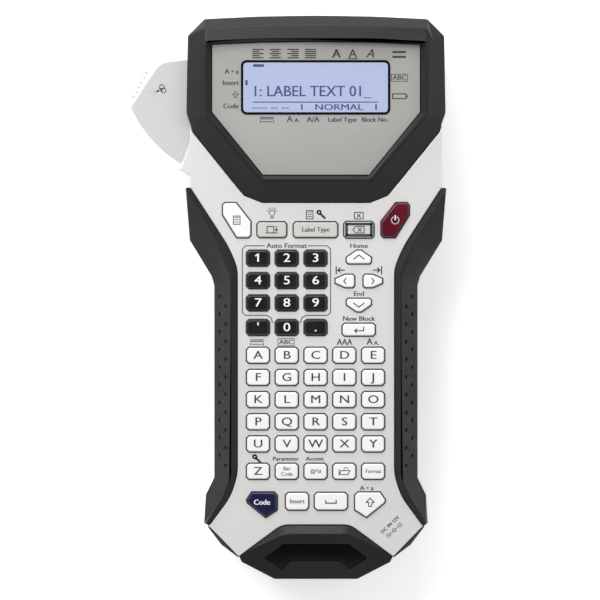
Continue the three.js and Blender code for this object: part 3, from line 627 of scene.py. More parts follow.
def finish_node(node, width, segments=2, angle=24, rooms=()):
    """The finished piece of one CAD node, with rounded edges, in place of the node."""
    bm = merged_copy(node)
    if width:
        round_edges(bm, width, segments, angle, rooms)
    slot_name = SLOT_OF[node]
    material = SLOT_FINISH[slot_name]()
    piece = settle(f"{node}_shell", bm, material, BODY_OF[node], SHELL_SMOOTH_ANGLE)
    weigh_normals(piece)
    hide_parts(node)
    return piece


def carve(piece, cutter_bm, name):
    """Cuts a bmesh out of a piece."""
    mesh = bpy.data.meshes.new(name)
    cutter_bm.to_mesh(mesh)
    cutter_bm.free()
    cutter = bpy.data.objects.new(name, mesh)
    bpy.context.scene.collection.objects.link(cutter)
    cut = piece.modifiers.new(name, "BOOLEAN")
    cut.operation = "DIFFERENCE"
    cut.solver = "EXACT"
    cut.object = cutter
    while piece.modifiers[0].name != cut.name:
        bpy.context.view_layer.objects.active = piece
        bpy.ops.object.modifier_move_up(modifier=cut.name)
    with bpy.context.temp_override(object=piece, active_object=piece, selected_objects=[piece]):
        bpy.ops.object.modifier_apply(modifier=cut.name)
    bpy.data.objects.remove(cutter)
    bpy.data.meshes.remove(mesh)
    bm = bmesh.new()
    bm.from_mesh(piece.data)
    many_sided = [face for face in bm.faces if len(face.verts) > MOST_CORNERS]
    bmesh.ops.triangulate(bm, faces=many_sided, ngon_method="EAR_CLIP")
    bm.to_mesh(piece.data)
    bm.free()
    piece.data.set_sharp_from_angle(angle=SMOOTH_ANGLE)


def add_box(bm, lowest, highest, turn=0.0, round_by=0.0):
    """A box between two corners, turned about its own middle on the face, with rounded edges."""
    size = Vector(highest) - Vector(lowest)
    middle = (Vector(lowest) + Vector(highest)) / 2
    place = Matrix.Translation(middle) @ Matrix.Rotation(turn, 4, "Z") @ Matrix.Diagonal((*size, 1))
    made = bmesh.ops.create_cube(bm, size=1, matrix=place)
    if round_by:
        edges = {edge for vert in made["verts"] for edge in vert.link_edges}
        bmesh.ops.bevel(
            bm, geom=list(edges), offset=round_by, offset_type="OFFSET", segments=2,
            profile=0.5, affect="EDGES", material=-1,
        )


def prism(bm, corners, bottom, top):
    """An upright prism over flat corners (x, y), with its ends closed."""
    verts = [bm.verts.new((x, y, bottom)) for x, y in corners]
    base = bm.faces.new(verts)
    raised = bmesh.ops.extrude_face_region(bm, geom=[base])
    moved = [item for item in raised["geom"] if isinstance(item, bmesh.types.BMVert)]
    bmesh.ops.translate(bm, vec=(0, 0, top - bottom), verts=moved)
    faces = {face for vert in verts + moved for face in vert.link_faces}
    bmesh.ops.recalc_face_normals(bm, faces=list(faces))


def grown_loop(points, by):
    """An anticlockwise outline moved outward."""
    grown = []
    count = len(points)
    for index, point in enumerate(points):
        before = (point - points[index - 1]).normalized()
        after = (points[(index + 1) % count] - point).normalized()
        outward = Vector((before.y + after.y, -before.x - after.x)).normalized()
        reach = by / max(0.5, outward.dot(Vector((before.y, -before.x))))
        grown.append(point + outward * reach)
    return grown


def ring(bm, corners, width, bottom, top):
    """A closed frame inside anticlockwise flat corners, with the given width."""
    outer = [Vector(corner) for corner in corners]
    inner = grown_loop(outer, -width)
    loops = [[bm.verts.new((*point, z)) for point in loop] for loop, z in (
        (outer, bottom), (outer, top), (inner, top), (inner, bottom),
    )]
    for index in range(4):
        first, second = loops[index], loops[(index + 1) % 4]
        for place, vert in enumerate(first):
            after = (place + 1) % len(first)
            bm.faces.new((vert, first[after], second[after], second[place]))


def rounded_corners(x0, x1, y0, y1, radius, steps=5):
    """Corners of an upright rectangle with round corners, anticlockwise."""
    points = []
    for cx, cy, start in (
        (x1 - radius, y0 + radius, -90),
        (x1 - radius, y1 - radius, 0),
        (x0 + radius, y1 - radius, 90),
        (x0 + radius, y0 + radius, 180),
    ):
        for step in range(steps):
            angle = math.radians(start + 90 * step / (steps - 1))
            points.append((cx + radius * math.cos(angle), cy + radius * math.sin(angle)))
    return points


def stroke(bm, points, width, z):
    """Thin raised lines through flat points, one short bar for each stretch."""
    height = sizes().print_height
    for (x0, y0), (x1, y1) in zip(points, points[1:]):
        reach = math.hypot(x1 - x0, y1 - y0) + width * 0.6
        middle = Vector(((x0 + x1) / 2, (y0 + y1) / 2, z))
        half = Vector((reach / 2, width / 2, 0))
        add_box(bm, middle - half, middle + half + Vector((0, 0, height)), math.atan2(y1 - y0, x1 - x0))


def add_text(bm, words, x, y, z, size, turn=0.0, align="CENTER", stretch=1.0, bold=0.0, shear=0.0, wide=None):
    """Raised lettering, centred on its place unless align says otherwise."""
    curve = bpy.data.curves.new("lettering", "FONT")
    curve.body = words
    curve.size = size
    curve.align_x = align
    curve.align_y = "CENTER"
    curve.extrude = sizes().print_height / 2
    curve.shear = shear
    curve.resolution_u = 3
    temporary = bpy.data.objects.new("lettering", curve)
    bpy.context.scene.collection.objects.link(temporary)
    graph = bpy.context.evaluated_depsgraph_get()
    mesh = bpy.data.meshes.new_from_object(temporary.evaluated_get(graph))
    if wide:
        across = [vert.co.x for vert in mesh.vertices]
        stretch = wide / (max(across) - min(across))
    mesh.transform(
        Matrix.Translation((x, y, z + sizes().print_height / 2))
        @ Matrix.Rotation(turn, 4, "Z")
        @ Matrix.Diagonal((stretch, 1, 1, 1))
    )
    bm.from_mesh(mesh)
    if bold:
        step = (bold * math.cos(turn), bold * math.sin(turn), sizes().print_height * 0.2)
        mesh.transform(Matrix.Translation(step))
        bm.from_mesh(mesh)
    bpy.data.objects.remove(temporary)
    bpy.data.curves.remove(curve)
    bpy.data.meshes.remove(mesh)
    bmesh.ops.remove_doubles(bm, verts=bm.verts, dist=0.0005 * MM)


# ---- Pieces -------------------------------------------------------------------------


def at(x, y, z=0.0):
    """A point given in millimetres."""
    return Vector((x, y, z)) * MM


def many(name, material, body, build):
    """A piece whose bmesh is filled by a function."""
    bm = bmesh.new()
    build(bm)
    return settle(name, bm, material, body)


class LABELMAKER_OT_cases(bpy.types.Operator):
    """Front and rear case"""

    bl_idname = "label_maker.cases"
    bl_label = "Cases"

    def execute(self, context):
        width = sizes().case_round
        reach = SHADE_RING_OUTSIDE + ROOM_MARGIN
        rooms = []
        for node in KEY_NODES:
            for loop in key_tops(node):
                xs, ys = [point.x for point in loop], [point.y for point in loop]
                rooms.append((min(xs) - reach, min(ys) - reach, max(xs) + reach, max(ys) + reach))
        finish_node("front_case", width, rooms=rooms)
        many("corner_lips", rear_plastic(), "housing", self.lips)
        finish_node("rear_case", width)
        return {"FINISHED"}

    def lips(self, bm):
        """Dark lip that shows below each slanting corner at the tail."""
        tail = low("tail_bumper").y / MM
        for side in (-1, 1):
            outline = [(side * x * MM, (tail + y) * MM) for x, y in LIP_CORNERS]
            prism(bm, outline if side > 0 else outline[::-1], LIP_BOTTOM * MM, LIP_TOP * MM)


class LABELMAKER_OT_bumpers(bpy.types.Operator):
    """Bumpers at the head and the tail, and the badge let into the tail one"""

    bl_idname = "label_maker.bumpers"
    bl_label = "Bumpers"

    def execute(self, context):
        width = sizes().bumper_round
        finish_node("head_bumper", width, segments=3, angle=20)
        finish_node("tail_bumper", width * 0.6, segments=3, angle=20)
        tail = low("tail_bumper").y
        corners = [(x * MM, tail + y * MM) for x, y in BADGE_HALF]
        corners += [(-x, y) for x, y in reversed(corners)]

        def build(bm):
            crest = tail + BADGE_CREST_Y * MM
            prism(bm, corners, 0, BADGE_THICK * MM)
            for vert in bm.verts:
                vert.co.z += BADGE_CREST_Z * MM + (vert.co.y - crest) * BADGE_SLOPE
            round_edges(bm, 0.12 * MM)

        many("badge", gloss_black(), "housing", build)
        return {"FINISHED"}


class LABELMAKER_OT_grips(bpy.types.Operator):
    """Side grips with two columns of dimples each"""

    bl_idname = "label_maker.grips"
    bl_label = "Grips"

    def execute(self, context):
        radius = sizes().dimple_radius
        pitch = sizes().dimple_pitch
        for side, node in ((-1, "left_grip"), (1, "right_grip")):
            piece = finish_node(node, sizes().bumper_round * 0.35, segments=2, angle=28)
            balls = bmesh.new()
            for column, start, z in DIMPLE_COLUMNS:
                for index in range(DIMPLES_IN_COLUMN):
                    place = Matrix.Translation((side * column * MM, start * MM - index * pitch, z * MM))
                    bmesh.ops.create_uvsphere(
                        balls, u_segments=14, v_segments=8, radius=radius * 1.1, matrix=place
                    )
            carve(piece, balls, "dimples")
        return {"FINISHED"}


class LABELMAKER_OT_keys(bpy.types.Operator):
    """Caps of all the keys"""

    bl_idname = "label_maker.keys"
    bl_label = "Keys"

    def execute(self, context):
        for node in KEY_NODES:
            finish_node(node, sizes().key_round, segments=2, angle=20)
        return {"FINISHED"}


def key_tops(node):
    """Outlines of the flat tops of a node's keys, from left to right."""
    bm = merged_copy(node)
    top = max(vert.co.z for vert in bm.verts)
    loops = []
    for face in bm.faces:
        if face.normal.z > 0.99 and face.calc_center_median().z > top - 0.1 * MM:
            loops.append([vert.co.xy.copy() for vert in face.verts])
    bm.free()
    return sorted(loops, key=lambda loop: min(point.x for point in loop))


class LABELMAKER_OT_painted_key_shade(bpy.types.Operator):
    """Dark ring of painted shade round the opening of every key, standing in for the shadow in the gap"""

    bl_idname = "label_maker.key_rims"
    bl_label = "Painted key shade"

    def execute(self, context):
        face = high("front_case").z

        def build(bm):
            for node in KEY_NODES:
                for loop in key_tops(node):
                    # Painted shade: a dark ring on the face round each key, where the gap between key and
                    # case lies in shadow.
                    outside = grown_loop(loop, SHADE_RING_OUTSIDE)
                    ring(bm, outside, SHADE_RING_WIDTH, face, face + 2 * sizes().print_height)

        many("key_rims", dark_ink_and_painted_shade(), "housing", build)
        return {"FINISHED"}


def arc(x, y, radius, start, end, steps=10):
    """Points along an arc, in millimetres and degrees."""
    turns = [math.radians(start + (end - start) * step / steps) for step in range(steps + 1)]
    return [at(x + radius * math.cos(turn), y + radius * math.sin(turn)).xy for turn in turns]


def lines(bm, z, width, *chains):
    """Printed lines through chains of points given in millimetres."""
    for chain in chains:
        stroke(bm, [at(*point).xy for point in chain], width * LINE_WEIGHT * MM, z)


def framed(x, y, w, h):
    """The chain of a frame around a middle, with half its width and half its height."""
    return [(x - w, y - h), (x - w, y + h), (x + w, y + h), (x + w, y - h), (x - w, y - h)]


def words(bm, z, text, x, y, size, **more):
    """Printed words placed in millimetres."""
    more.setdefault("bold", WORD_BOLD)
    if "wide" in more:
        more["wide"] *= MM
    add_text(bm, text, x * MM, y * MM, z, size * MM, **more)


def page_icon(bm, z, x, y):
    """A page with lines of writing."""
    w, h = 1.5, 1.9
    lines(bm, z, 0.3, framed(x, y, w, h))
    for level in (-0.45, 0.1, 0.65):
        lines(bm, z, 0.26, [(x - w * 0.6, y + h * level), (x + w * 0.6, y + h * level)])


def wrench_icon(bm, z, x, y):
    """A wrench lying on a slant."""
    lines(bm, z, 0.75, [(x - 0.4, y + 0.4), (x + 1.7, y - 1.7)])
    stroke(bm, arc(x - 1.0, y + 1.0, 0.8, -120, 210), 0.8 * MM, z)


def boxed_x(bm, z, x, y, pointed=False):
    """A cross in a frame, with a point on the left where it deletes backwards."""
    w, h = 2.0, 1.5
    point = [(x - w - 1.2, y)] if pointed else []
    left = [(x - w, y + h), *point, (x - w, y - h)]
    lines(bm, z, 0.3, [*left, (x + w, y - h), (x + w, y + h), (x - w, y + h)])
    lines(bm, z, 0.3, [(x - 0.8, y - 0.8), (x + 0.8, y + 0.8)], [(x - 0.8, y + 0.8), (x + 0.8, y - 0.8)])


def tape_icon(bm, z, x, y):
    """A strip of tape with its length marked."""
    lines(bm, z, 0.3, [(x - 3, y + 1.1), (x + 3, y + 1.1)], [(x - 3, y + 0.4), (x + 3, y + 0.4)])
    lines(bm, z, 0.26, [(x - 2.4, y - 0.9), (x + 2.4, y - 0.9)])
    lines(bm, z, 0.26, [(x - 3, y - 0.3), (x - 3, y - 1.5)], [(x + 3, y - 0.3), (x + 3, y - 1.5)])


def boxed_letters(bm, z, x, y):
    """Letters in a frame."""
    lines(bm, z, 0.22, framed(x, y, 3.7, 1.6))
    words(bm, z, "ABC", x, y, 2.9, stretch=1.15)


def power_icon(bm, z, x, y):
    """The sign for power."""
    stroke(bm, arc(x, y, 1.7, 125, 415, 16), 0.42 * MM, z)
    lines(bm, z, 0.42, [(x, y + 0.2), (x, y + 2.1)])


def feed_icon(bm, z, x, y):
    """Tape leaving a slot, with an arrow."""
    lines(bm, z, 0.32, [(x - 2.2, y - 1.5), (x - 2.2, y + 1.5), (x + 0.9, y + 1.5), (x + 0.9, y - 1.5)])
    lines(bm, z, 0.32, [(x - 2.6, y - 1.5), (x + 2.6, y - 1.5)], [(x + 2.1, y + 1.5), (x + 2.1, y - 0.6)])
    lines(bm, z, 0.3, [(x + 1.5, y + 0.1), (x + 2.1, y - 0.6), (x + 2.7, y + 0.1)])


def enter_icon(bm, z, x, y):
    """An arrow that turns back to the left."""
    lines(bm, z, 0.36, [(x + 2.2, y + 1.2), (x + 2.2, y - 0.5), (x - 1.8, y - 0.5)])
    lines(bm, z, 0.36, [(x - 0.9, y + 0.4), (x - 1.9, y - 0.5), (x - 0.9, y - 1.4)])


def space_icon(bm, z, x, y):
    """A bracket lying down."""
    lines(bm, z, 0.4, [(x - 2.4, y + 0.5), (x - 2.4, y - 0.8), (x + 2.4, y - 0.8), (x + 2.4, y + 0.5)])


def shift_icon(bm, z, x, y, scale=1.0):
    """An outlined arrow that points up."""
    shape = [(-0.7, -1.8), (-0.7, 0), (-1.9, 0), (0, 2), (1.9, 0), (0.7, 0), (0.7, -1.8), (-0.7, -1.8)]
    lines(bm, z, 0.32 * scale, [(x + a * scale, y + b * scale) for a, b in shape])


def chevron(turn, reach, bm, z, x, y):
    """An open arrowhead that points along the turn."""
    turned = Matrix.Rotation(math.radians(turn), 2)
    corners = ((-reach / 2, reach * 1.3), (reach / 2, 0), (-reach / 2, -reach * 1.3))
    points = [turned @ Vector(corner) for corner in corners]
    lines(bm, z, 0.36, [(x + point.x, y + point.y) for point in points])


def key_word(text, size, bm, z, x, y):
    """A word on a key."""
    words(bm, z, text, x, y, size, bold=LETTER_BOLD)


def folder_icon(bm, z, x, y):
    """An open folder with a turning arrow."""
    shape = [(-2.4, 0.9), (-2.4, -1.5), (1.6, -1.5), (2.6, 0.4), (-1.4, 0.4), (-2.4, -1.5)]
    lines(bm, z, 0.3, [(x + a, y + b) for a, b in shape])
    stroke(bm, arc(x + 0.8, y + 0.8, 1.0, 20, 170), 0.3 * MM, z)


# Signs, words (with the height of their letters) and arrows (with their turn and reach) on single keys.
KEY_ICONS = {
    "print_key": page_icon,
    "power_key": power_icon,
    "feed_cut_key": feed_icon,
    "enter_key": enter_icon,
    "space_key": space_icon,
    "shift_key": shift_icon,
}
KEY_WORDS = {
    "label_type_key": ("Label Type", 2.9),
    "code_key": ("Code", 3.4),
    "insert_key": ("Insert", 2.9),
}
KEY_ARROWS = {"up_key": (90, 1.9), "left_key": (180, 1.0), "down_key": (-90, 1.9), "right_key": (0, 1.0)}


class LABELMAKER_OT_key_legends(bpy.types.Operator):
    """Letters, digits and signs on the keys"""

    bl_idname = "label_maker.key_legends"
    bl_label = "Key legends"

    def execute(self, context):
        for index, letters in enumerate(LETTER_ROWS):
            self.row(f"letter_row_{index + 1}", letters, dark_ink_and_painted_shade(), 5.3)
        for index, digits in enumerate(NUMBER_ROWS):
            self.row(f"number_row_{index + 1}", digits, white_ink(), 5.6)
        self.row("number_row_4", "'0.", white_ink(), 5.6)
        self.row("letter_row_6", ("Z", "Bar\nCode", "@*#", folder_icon, "Format"), dark_ink_and_painted_shade(), 5.3)
        for node, icon in KEY_ICONS.items():
            self.single(node, icon)
        for node, (text, size) in KEY_WORDS.items():
            self.single(node, partial(key_word, text, size))
        self.single("backspace_key", lambda bm, z, x, y: boxed_x(bm, z, x + 0.4, y, pointed=True))
        self.single("backspace_key", self.backspace_border, "_border")
        for node, (turn, reach) in KEY_ARROWS.items():
            self.single(node, partial(chevron, turn, reach))
        return {"FINISHED"}

    def backspace_border(self, bm, z, x, y):
        lines(bm, z, 0.95, framed(x, y, 5.7, 2.6))

    def single(self, node, draw, ending=""):
        middle = centre(node) / MM
        if node in ("code_key", "shift_key"):
            middle.y += 1.2
        ink = white_ink() if node in ("power_key", "code_key") else dark_ink_and_painted_shade()
        many(
            f"{node}_legend{ending}", ink, BODY_OF[node],
            lambda bm: draw(bm, high(node).z, middle.x, middle.y),
        )

    def row(self, node, legends, ink, size):
        top = high(node).z

        def build(bm):
            for loop, legend in zip(key_tops(node), legends):
                x = sum(point.x for point in loop) / len(loop) / MM
                y = centre(node).y / MM
                if callable(legend):
                    legend(bm, top, x, y)
                elif legend in "0123456789'.":
                    words(bm, top, legend, x, y, size, stretch=1.25, bold=0.1 * MM)
                    if legend == "1":
                        lines(bm, top, 0.42, [(x - 1.1, y + 1.1), (x, y + 1.9)])
                elif len(legend) == 1:
                    words(bm, top, legend, x, y, size, stretch=1.22, bold=LETTER_BOLD)
                else:
                    words(bm, top, legend, x, y, 2.5, bold=LETTER_BOLD / 2)

        many(f"{node}_legend", ink, BODY_OF[node], build)


class LABELMAKER_OT_face_legends(bpy.types.Operator):
    """Words and signs printed on the case's face"""

    bl_idname = "label_maker.face_legends"
    bl_label = "Face legends"

    def execute(self, context):
        z = high("front_case").z

        def grey(bm):
            for text, x, y, size in (
                ("Auto Format", -13.6, -61.8, 3.2),
                ("Home", 19.7, -61.9, 3.0),
                ("End", 19.7, -83.9, 3.0),
                ("New Block", 19.6, -95.4, 3.0),
                ("Parameter", -14.0, -159.9, 2.6),
                ("Accent", -0.7, -159.9, 2.6),
                ("A • a", 23.3, -173.4, 2.9),
            ):
                words(bm, z, text, x, y, size, stretch=1.1)
            for side in (-1, 1):
                x = -13.6
                lines(bm, z, 0.3, [
                    (x + side * 10, -61.8), (x + side * 18.8, -61.8), (x + side * 20.3, -63.3),
                    (x + side * 20.3, -92.4), (x + side * 18.9, -93.8), (x + side * 9.2, -93.8),
                    (x + side * 7.2, -94.8), (x + side * 6.4, -97.2),
                ])
            words(bm, z, "DC IN 12V", 34.0, -190.3, 2.2, wide=10.6, turn=math.radians(43))
            for place in (-1, 0, 1):
                x, y = 36.0 + place * 2.6, -192.7 + place * 2.4
                stroke(bm, arc(x, y, 0.85, 0, 360, 12), 0.24 * MM, z)
                lines(bm, z, 0.2, [(x - 0.4, y), (x + 0.4, y)])
            lines(bm, z, 0.2, [(34.1, -194.5), (35.3, -193.3)], [(36.7, -192.1), (37.9, -190.9)])

        def navy(bm):
            stroke(bm, arc(-20.2, -46.5, 1.2, -50, 230), 0.35 * MM, z)
            lines(bm, z, 0.35, [(-20.9, -48.1), (-19.5, -48.1)], [(-20.8, -48.9), (-19.6, -48.9)])
            for turn in (20, 55, 90, 125, 160):
                ray = Vector((math.cos(math.radians(turn)), math.sin(math.radians(turn))))
                lines(bm, z, 0.25, [Vector((-20.2, -46.5)) + ray * 1.8, Vector((-20.2, -46.5)) + ray * 2.6])
            page_icon(bm, z, -2.9, -47.5)
            wrench_icon(bm, z, 2.4, -47.4)
            boxed_x(bm, z, 19.7, -47.9)
            wrench_icon(bm, z, -27.2, -159.9)
            words(bm, z, "AAA", 13.1, -106.2, 3.9, stretch=0.9, bold=0.15 * MM)
            words(bm, z, "A", 24.6, -106.0, 4.2, bold=0.15 * MM)
            words(bm, z, "A.", 27.8, -106.6, 2.6)
            lines(bm, z, 0.4, [(9.3, -71.3), (9.3, -74.7)], [(10.0, -73.0), (13.1, -73.0)],
                  [(11.2, -72.0), (10.0, -73.0), (11.2, -74.0)])
            lines(bm, z, 0.4, [(30.2, -71.3), (30.2, -74.7)], [(29.4, -73.0), (26.4, -73.0)],
                  [(28.3, -72.0), (29.4, -73.0), (28.3, -74.0)])

        def icons(bm):
            tape_icon(bm, z, -27.2, -106.2)
            boxed_letters(bm, z, -13.8, -106.2)

        many("face_words", dark_ink_and_painted_shade(), "housing", grey)
        many("face_signs", dark_ink_and_painted_shade(), "housing", icons)
        many("face_shift_signs", navy_ink(), "housing", navy)
        return {"FINISHED"}


class LABELMAKER_OT_display(bpy.types.Operator):
    """Display panel, its window, what the screen shows and the legends round it"""

    bl_idname = "label_maker.display"
    bl_label = "Display"

    def execute(self, context):
        finish_node("display_panel", 0)
        finish_node("lcd_window", 0.15 * MM)
        z = high("display_panel").z
        lowest, highest = low("lcd_window"), high("lcd_window")
        reach = SCREEN_BORDER

        def border(bm):
            across = (lowest.x - reach, highest.x + reach)
            along = (lowest.y - reach, highest.y + reach)
            corners = rounded_corners(*across, *along, SCREEN_BORDER_CORNER)
            bottom = max(z, highest.z)
            ring(bm, corners, SCREEN_BORDER_WIDTH, bottom, bottom + SCREEN_BORDER_HEIGHT)

        many("screen_border", gloss_black(), "housing", border)
        many("panel_legends", dark_ink_and_painted_shade(), "housing", lambda bm: self.legends(bm, z))
        many("screen_content", screen_ink(), "housing", lambda bm: self.content(bm, highest.z))
        return {"FINISHED"}

    def legends(self, bm, z):
        full, short = 2.4, 1.5
        for x, shift in ((-26.7, -1), (-18.7, 0), (-10.55, 1), (-2.5, None)):
            for index in range(5):
                reach = full if index % 2 == 0 or shift is None else short
                middle = x + (full - reach) * (shift or 0)
                y = 28.4 - index * 0.95
                lines(bm, z, 0.42, [(middle - reach, y), (middle + reach, y)])
        words(bm, z, "A", 9.2, 26.4, 5.6, bold=0.4 * MM)
        words(bm, z, "A", 16.8, 26.4, 5.6)
        lines(bm, z, 0.35, [(14.6, 24.2), (19.0, 24.2)])
        words(bm, z, "A", 24.7, 26.4, 5.6, shear=0.3)
        for y in (27.2, 25.0):
            lines(bm, z, 0.7, [(35.4, y), (41.0, y)])
        for text, y in (("A • a", 18.2), ("Insert", 13.0), ("Code", 2.3)):
            words(bm, z, text, -35.6, y, 3.2, align="RIGHT")
        shift_icon(bm, z, -37.0, 7.6, 0.7)
        boxed_letters(bm, z, 38.3, 15.4)
        cell = [(35.2, 5.8), (41.3, 5.8), (41.3, 8.0), (35.2, 8.0), (35.2, 5.8)]
        lines(bm, z, 0.35, cell, [(42, 6.4), (42, 7.4)])
        tape_icon(bm, z, -22.6, -3.9)
        words(bm, z, "A", -12.2, -3.7, 3.9)
        words(bm, z, "A.", -8.8, -4.2, 2.6)
        words(bm, z, "A/A", -1.4, -3.8, 3.6)
        words(bm, z, "Label Type", 12.0, -3.9, 3.0)
        words(bm, z, "Block No.", 26.9, -3.9, 3.0)

    def content(self, bm, z):
        for x0, x1, y0, y1 in ((-28.9, -23.9, 20.4, 21.6), (-32.5, -31.4, 12.0, 14.3)):
            add_box(bm, at(x0, y0) + Vector((0, 0, z)), at(x1, y1) + Vector((0, 0, z + sizes().print_height)))
        words(bm, z, "1: LABEL TEXT 01_", -2.2, 9.0, 7.0, wide=53.5)
        lines(bm, z, 0.35, [(-28.9, 4.2), (28.4, 4.2)])
        words(bm, z, "---- -- --   1   NORMAL   1", -0.3, 1.8, 3.9, wide=57)


class LABELMAKER_OT_lever(bpy.types.Operator):
    """Cutter lever with the ribs on its outer edge"""

    bl_idname = "label_maker.lever"
    bl_label = "Cutter lever"

    def execute(self, context):
        finish_node("cutter_lever", sizes().bumper_round * 0.6, segments=3)
        z = high("cutter_lever").z

        def scissors(bm):
            for turn in (-0.35, 0.35):
                reach = Vector((math.cos(turn + 3.6), math.sin(turn + 3.6))) * 3.6
                lines(bm, z, 0.6, [Vector(LEVER_EYE) - reach * 0.5, Vector(LEVER_EYE) + reach])
                eye = Vector(LEVER_EYE) - reach * 0.72
                stroke(bm, arc(eye.x, eye.y, 1.1, 0, 360, 12), 0.55 * MM, z)

        def ribs(bm):
            outermost, innermost = at(-84.3, 7.2), at(-78.4, 18.2)
            slant = math.atan2(innermost.y - outermost.y, innermost.x - outermost.x)
            half = Vector((0.45, 0.9, 0)) * MM
            for index in range(RIB_COUNT):
                middle = outermost.lerp(innermost, index / (RIB_COUNT - 1))
                middle.z = z - 0.3 * MM
                add_box(bm, middle - half, middle + half + Vector((0, 0, 0.7 * MM)), slant, 0.15 * MM)

        many("lever_ribs", lever_plastic(), "cutter_lever", ribs)
        many("lever_scissors", lever_mark(), "cutter_lever", scissors)
        return {"FINISHED"}


class LABELMAKER_OT_covers(bpy.types.Operator):
    """Covers on the back and their latch"""

    bl_idname = "label_maker.covers"
    bl_label = "Covers"

    def execute(self, context):
        width = sizes().case_round
        for node in ("cassette_cover", "battery_cover", "cover_latch"):
            finish_node(node, width)
        battery_low = low("battery_cover")
        battery_top = high("battery_cover")

        def ridges(bm):
            middle = (battery_low.x + battery_top.x) / 2
            for index in range(RIDGE_COUNT):
                y = battery_top.y - (9 + 2.2 * index) * MM
                reach = (11 - 0.8 * index) * MM
                add_box(
                    bm,
                    (middle - reach, y - 0.5 * MM, battery_low.z - 0.5 * MM),
                    (middle + reach, y + 0.5 * MM, battery_low.z + 0.3 * MM),
                    round_by=0.15 * MM,
                )

        many("battery_cover_ridges", rear_plastic(), "battery_cover", ridges)
        return {"FINISHED"}


class LABELMAKER_OT_screws(bpy.types.Operator):
    """Screws that hold the two halves of the case"""

    bl_idname = "label_maker.screws"
    bl_label = "Screws"

    def execute(self, context):
        radius = sizes().screw_radius
        rear = high("battery_cover").z
        tail = low("rear_case").y
        places = [(side * x * MM, y) for side in (-1, 1) for x, y in (
            (TAIL_SCREW_X, tail + TAIL_SCREW_Y * MM),
            (SCREW_X, low("battery_cover").y + SCREW_INSET * MM),
            (SCREW_X, high("battery_cover").y - SCREW_INSET * MM),
        )]

        def build(bm):
            for x, y in places:
                place = Matrix.Translation((x, y, rear - 0.2 * MM))
                bmesh.ops.create_cone(
                    bm, cap_ends=True, segments=28, radius1=radius * 0.86, radius2=radius,
                    depth=1.0 * MM, matrix=place,
                )

        piece = many("case_screws", steel(), "housing", build)
        for turn in (0.4, 0.4 + math.pi / 2):
            slots = bmesh.new()
            for x, y in places:
                add_box(
                    slots,
                    (x - radius * 0.6, y - 0.35 * MM, rear - 1.2 * MM),
                    (x + radius * 0.6, y + 0.35 * MM, rear - 0.1 * MM),
                    turn,
                )
            carve(piece, slots, "cross_recess")
        return {"FINISHED"}


class LABELMAKER_OT_inside(bpy.types.Operator):
    """Finishes of the parts inside the case"""

    bl_idname = "label_maker.inside"
    bl_label = "Inside"

    def execute(self, context):
        shells = [piece.name for piece in bpy.data.objects if piece.name.endswith("_shell")]
        shown = {name.removesuffix("_shell") for name in shells}
        for node, piece in NODES.items():
            if node in shown:
                continue
            material = SLOT_FINISH[SLOT_OF[node]]()
            piece.data.materials.clear()
            piece.data.materials.append(material)
        return {"FINISHED"}


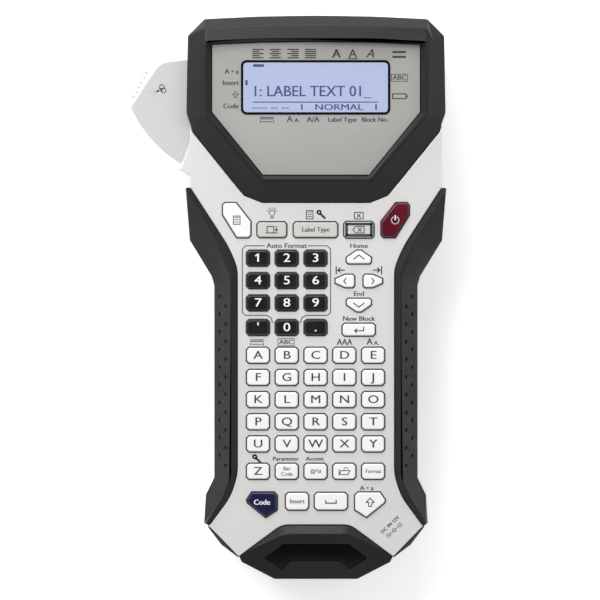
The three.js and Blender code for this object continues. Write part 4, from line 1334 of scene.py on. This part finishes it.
class LABELMAKER_OT_stage(bpy.types.Operator):
    """Floor, light and camera"""

    bl_idname = "label_maker.stage"
    bl_label = "Stage"

    def execute(self, context):
        scene = context.scene
        floor_bm = bmesh.new()
        bmesh.ops.create_grid(floor_bm, x_segments=1, y_segments=1, size=FLOOR_HALF_WIDTH)
        floor_mesh = bpy.data.meshes.new("floor")
        floor_bm.to_mesh(floor_mesh)
        floor_bm.free()
        floor_mesh.transform(Matrix.Translation((0, 0, FLOOR_Z)))
        floor_mesh.materials.append(floor_white())
        floor = bpy.data.objects.new("floor", floor_mesh)
        scene.collection.objects.link(floor)

        world = bpy.data.worlds.new("soft_white")
        world.use_nodes = True
        tree = world.node_tree
        place = tree.nodes.new("ShaderNodeTexCoord")
        axes = tree.nodes.new("ShaderNodeSeparateXYZ")
        fade = tree.nodes.new("ShaderNodeMapRange")
        for socket, value in SKY_FADE.items():
            fade.inputs[socket].default_value = value
        tree.links.new(place.outputs["Generated"], axes.inputs["Vector"])
        tree.links.new(axes.outputs["Z"], fade.inputs["Value"])
        tree.links.new(fade.outputs["Result"], tree.nodes["Background"].inputs["Strength"])
        tree.nodes["Background"].inputs["Color"].default_value = (1, 1, 1, 1)
        scene.world = world

        for name, place, energy, size in LAMPS:
            data = bpy.data.lights.new(name, "AREA")
            data.energy = energy
            data.size = size
            lamp = bpy.data.objects.new(name, data)
            lamp.location = place
            aim = centre("front_case") - Vector(place)
            lamp.rotation_euler = aim.to_track_quat("-Z", "Y").to_euler()
            scene.collection.objects.link(lamp)

        distance = sizes().camera_distance
        data = bpy.data.cameras.new("camera")
        data.sensor_width = SENSOR_WIDTH
        data.lens = SENSOR_WIDTH * distance / sizes().view_width
        data.clip_end = 10
        camera = bpy.data.objects.new("camera", data)
        camera.location = (CAMERA_X, CAMERA_Y, FACE_Z + distance)
        scene.collection.objects.link(camera)
        scene.camera = camera
        scene.view_settings.view_transform = "Standard"
        return {"FINISHED"}


CLASSES = [
    LabelMakerSizes,
    LabelMakerColours,
    LABELMAKER_OT_cases,
    LABELMAKER_OT_bumpers,
    LABELMAKER_OT_grips,
    LABELMAKER_OT_display,
    LABELMAKER_OT_keys,
    LABELMAKER_OT_painted_key_shade,
    LABELMAKER_OT_key_legends,
    LABELMAKER_OT_face_legends,
    LABELMAKER_OT_lever,
    LABELMAKER_OT_covers,
    LABELMAKER_OT_screws,
    LABELMAKER_OT_inside,
    LABELMAKER_OT_stage,
]
OPERATORS = [kind for kind in CLASSES if issubclass(kind, bpy.types.Operator)]


class LABELMAKER_PT_panel(bpy.types.Panel):
    """Sidebar panel that lists the label maker's pieces"""

    bl_idname = "LABELMAKER_PT_panel"
    bl_label = "Label Maker"
    bl_space_type = "VIEW_3D"
    bl_region_type = "UI"
    bl_category = "Label Maker"

    def draw(self, context):
        layout = self.layout
        for kind in OPERATORS:
            layout.operator(kind.bl_idname)
        for settings in (sizes(), colours()):
            box = layout.box()
            for name in settings.bl_rna.properties.keys():
                if name not in ("rna_type", "name"):
                    box.prop(settings, name)


def register():
    for kind in (*CLASSES, LABELMAKER_PT_panel):
        bpy.utils.register_class(kind)
    bpy.types.Scene.label_maker_sizes = PointerProperty(type=LabelMakerSizes)
    bpy.types.Scene.label_maker_colours = PointerProperty(type=LabelMakerColours)


def unregister():
    del bpy.types.Scene.label_maker_colours
    del bpy.types.Scene.label_maker_sizes
    for kind in reversed((*CLASSES, LABELMAKER_PT_panel)):
        bpy.utils.unregister_class(kind)


def main():
    register()
    for kind in OPERATORS:
        group, name = kind.bl_idname.split(".")
        getattr(getattr(bpy.ops, group), name)()


if __name__ == "__main__":
    main()
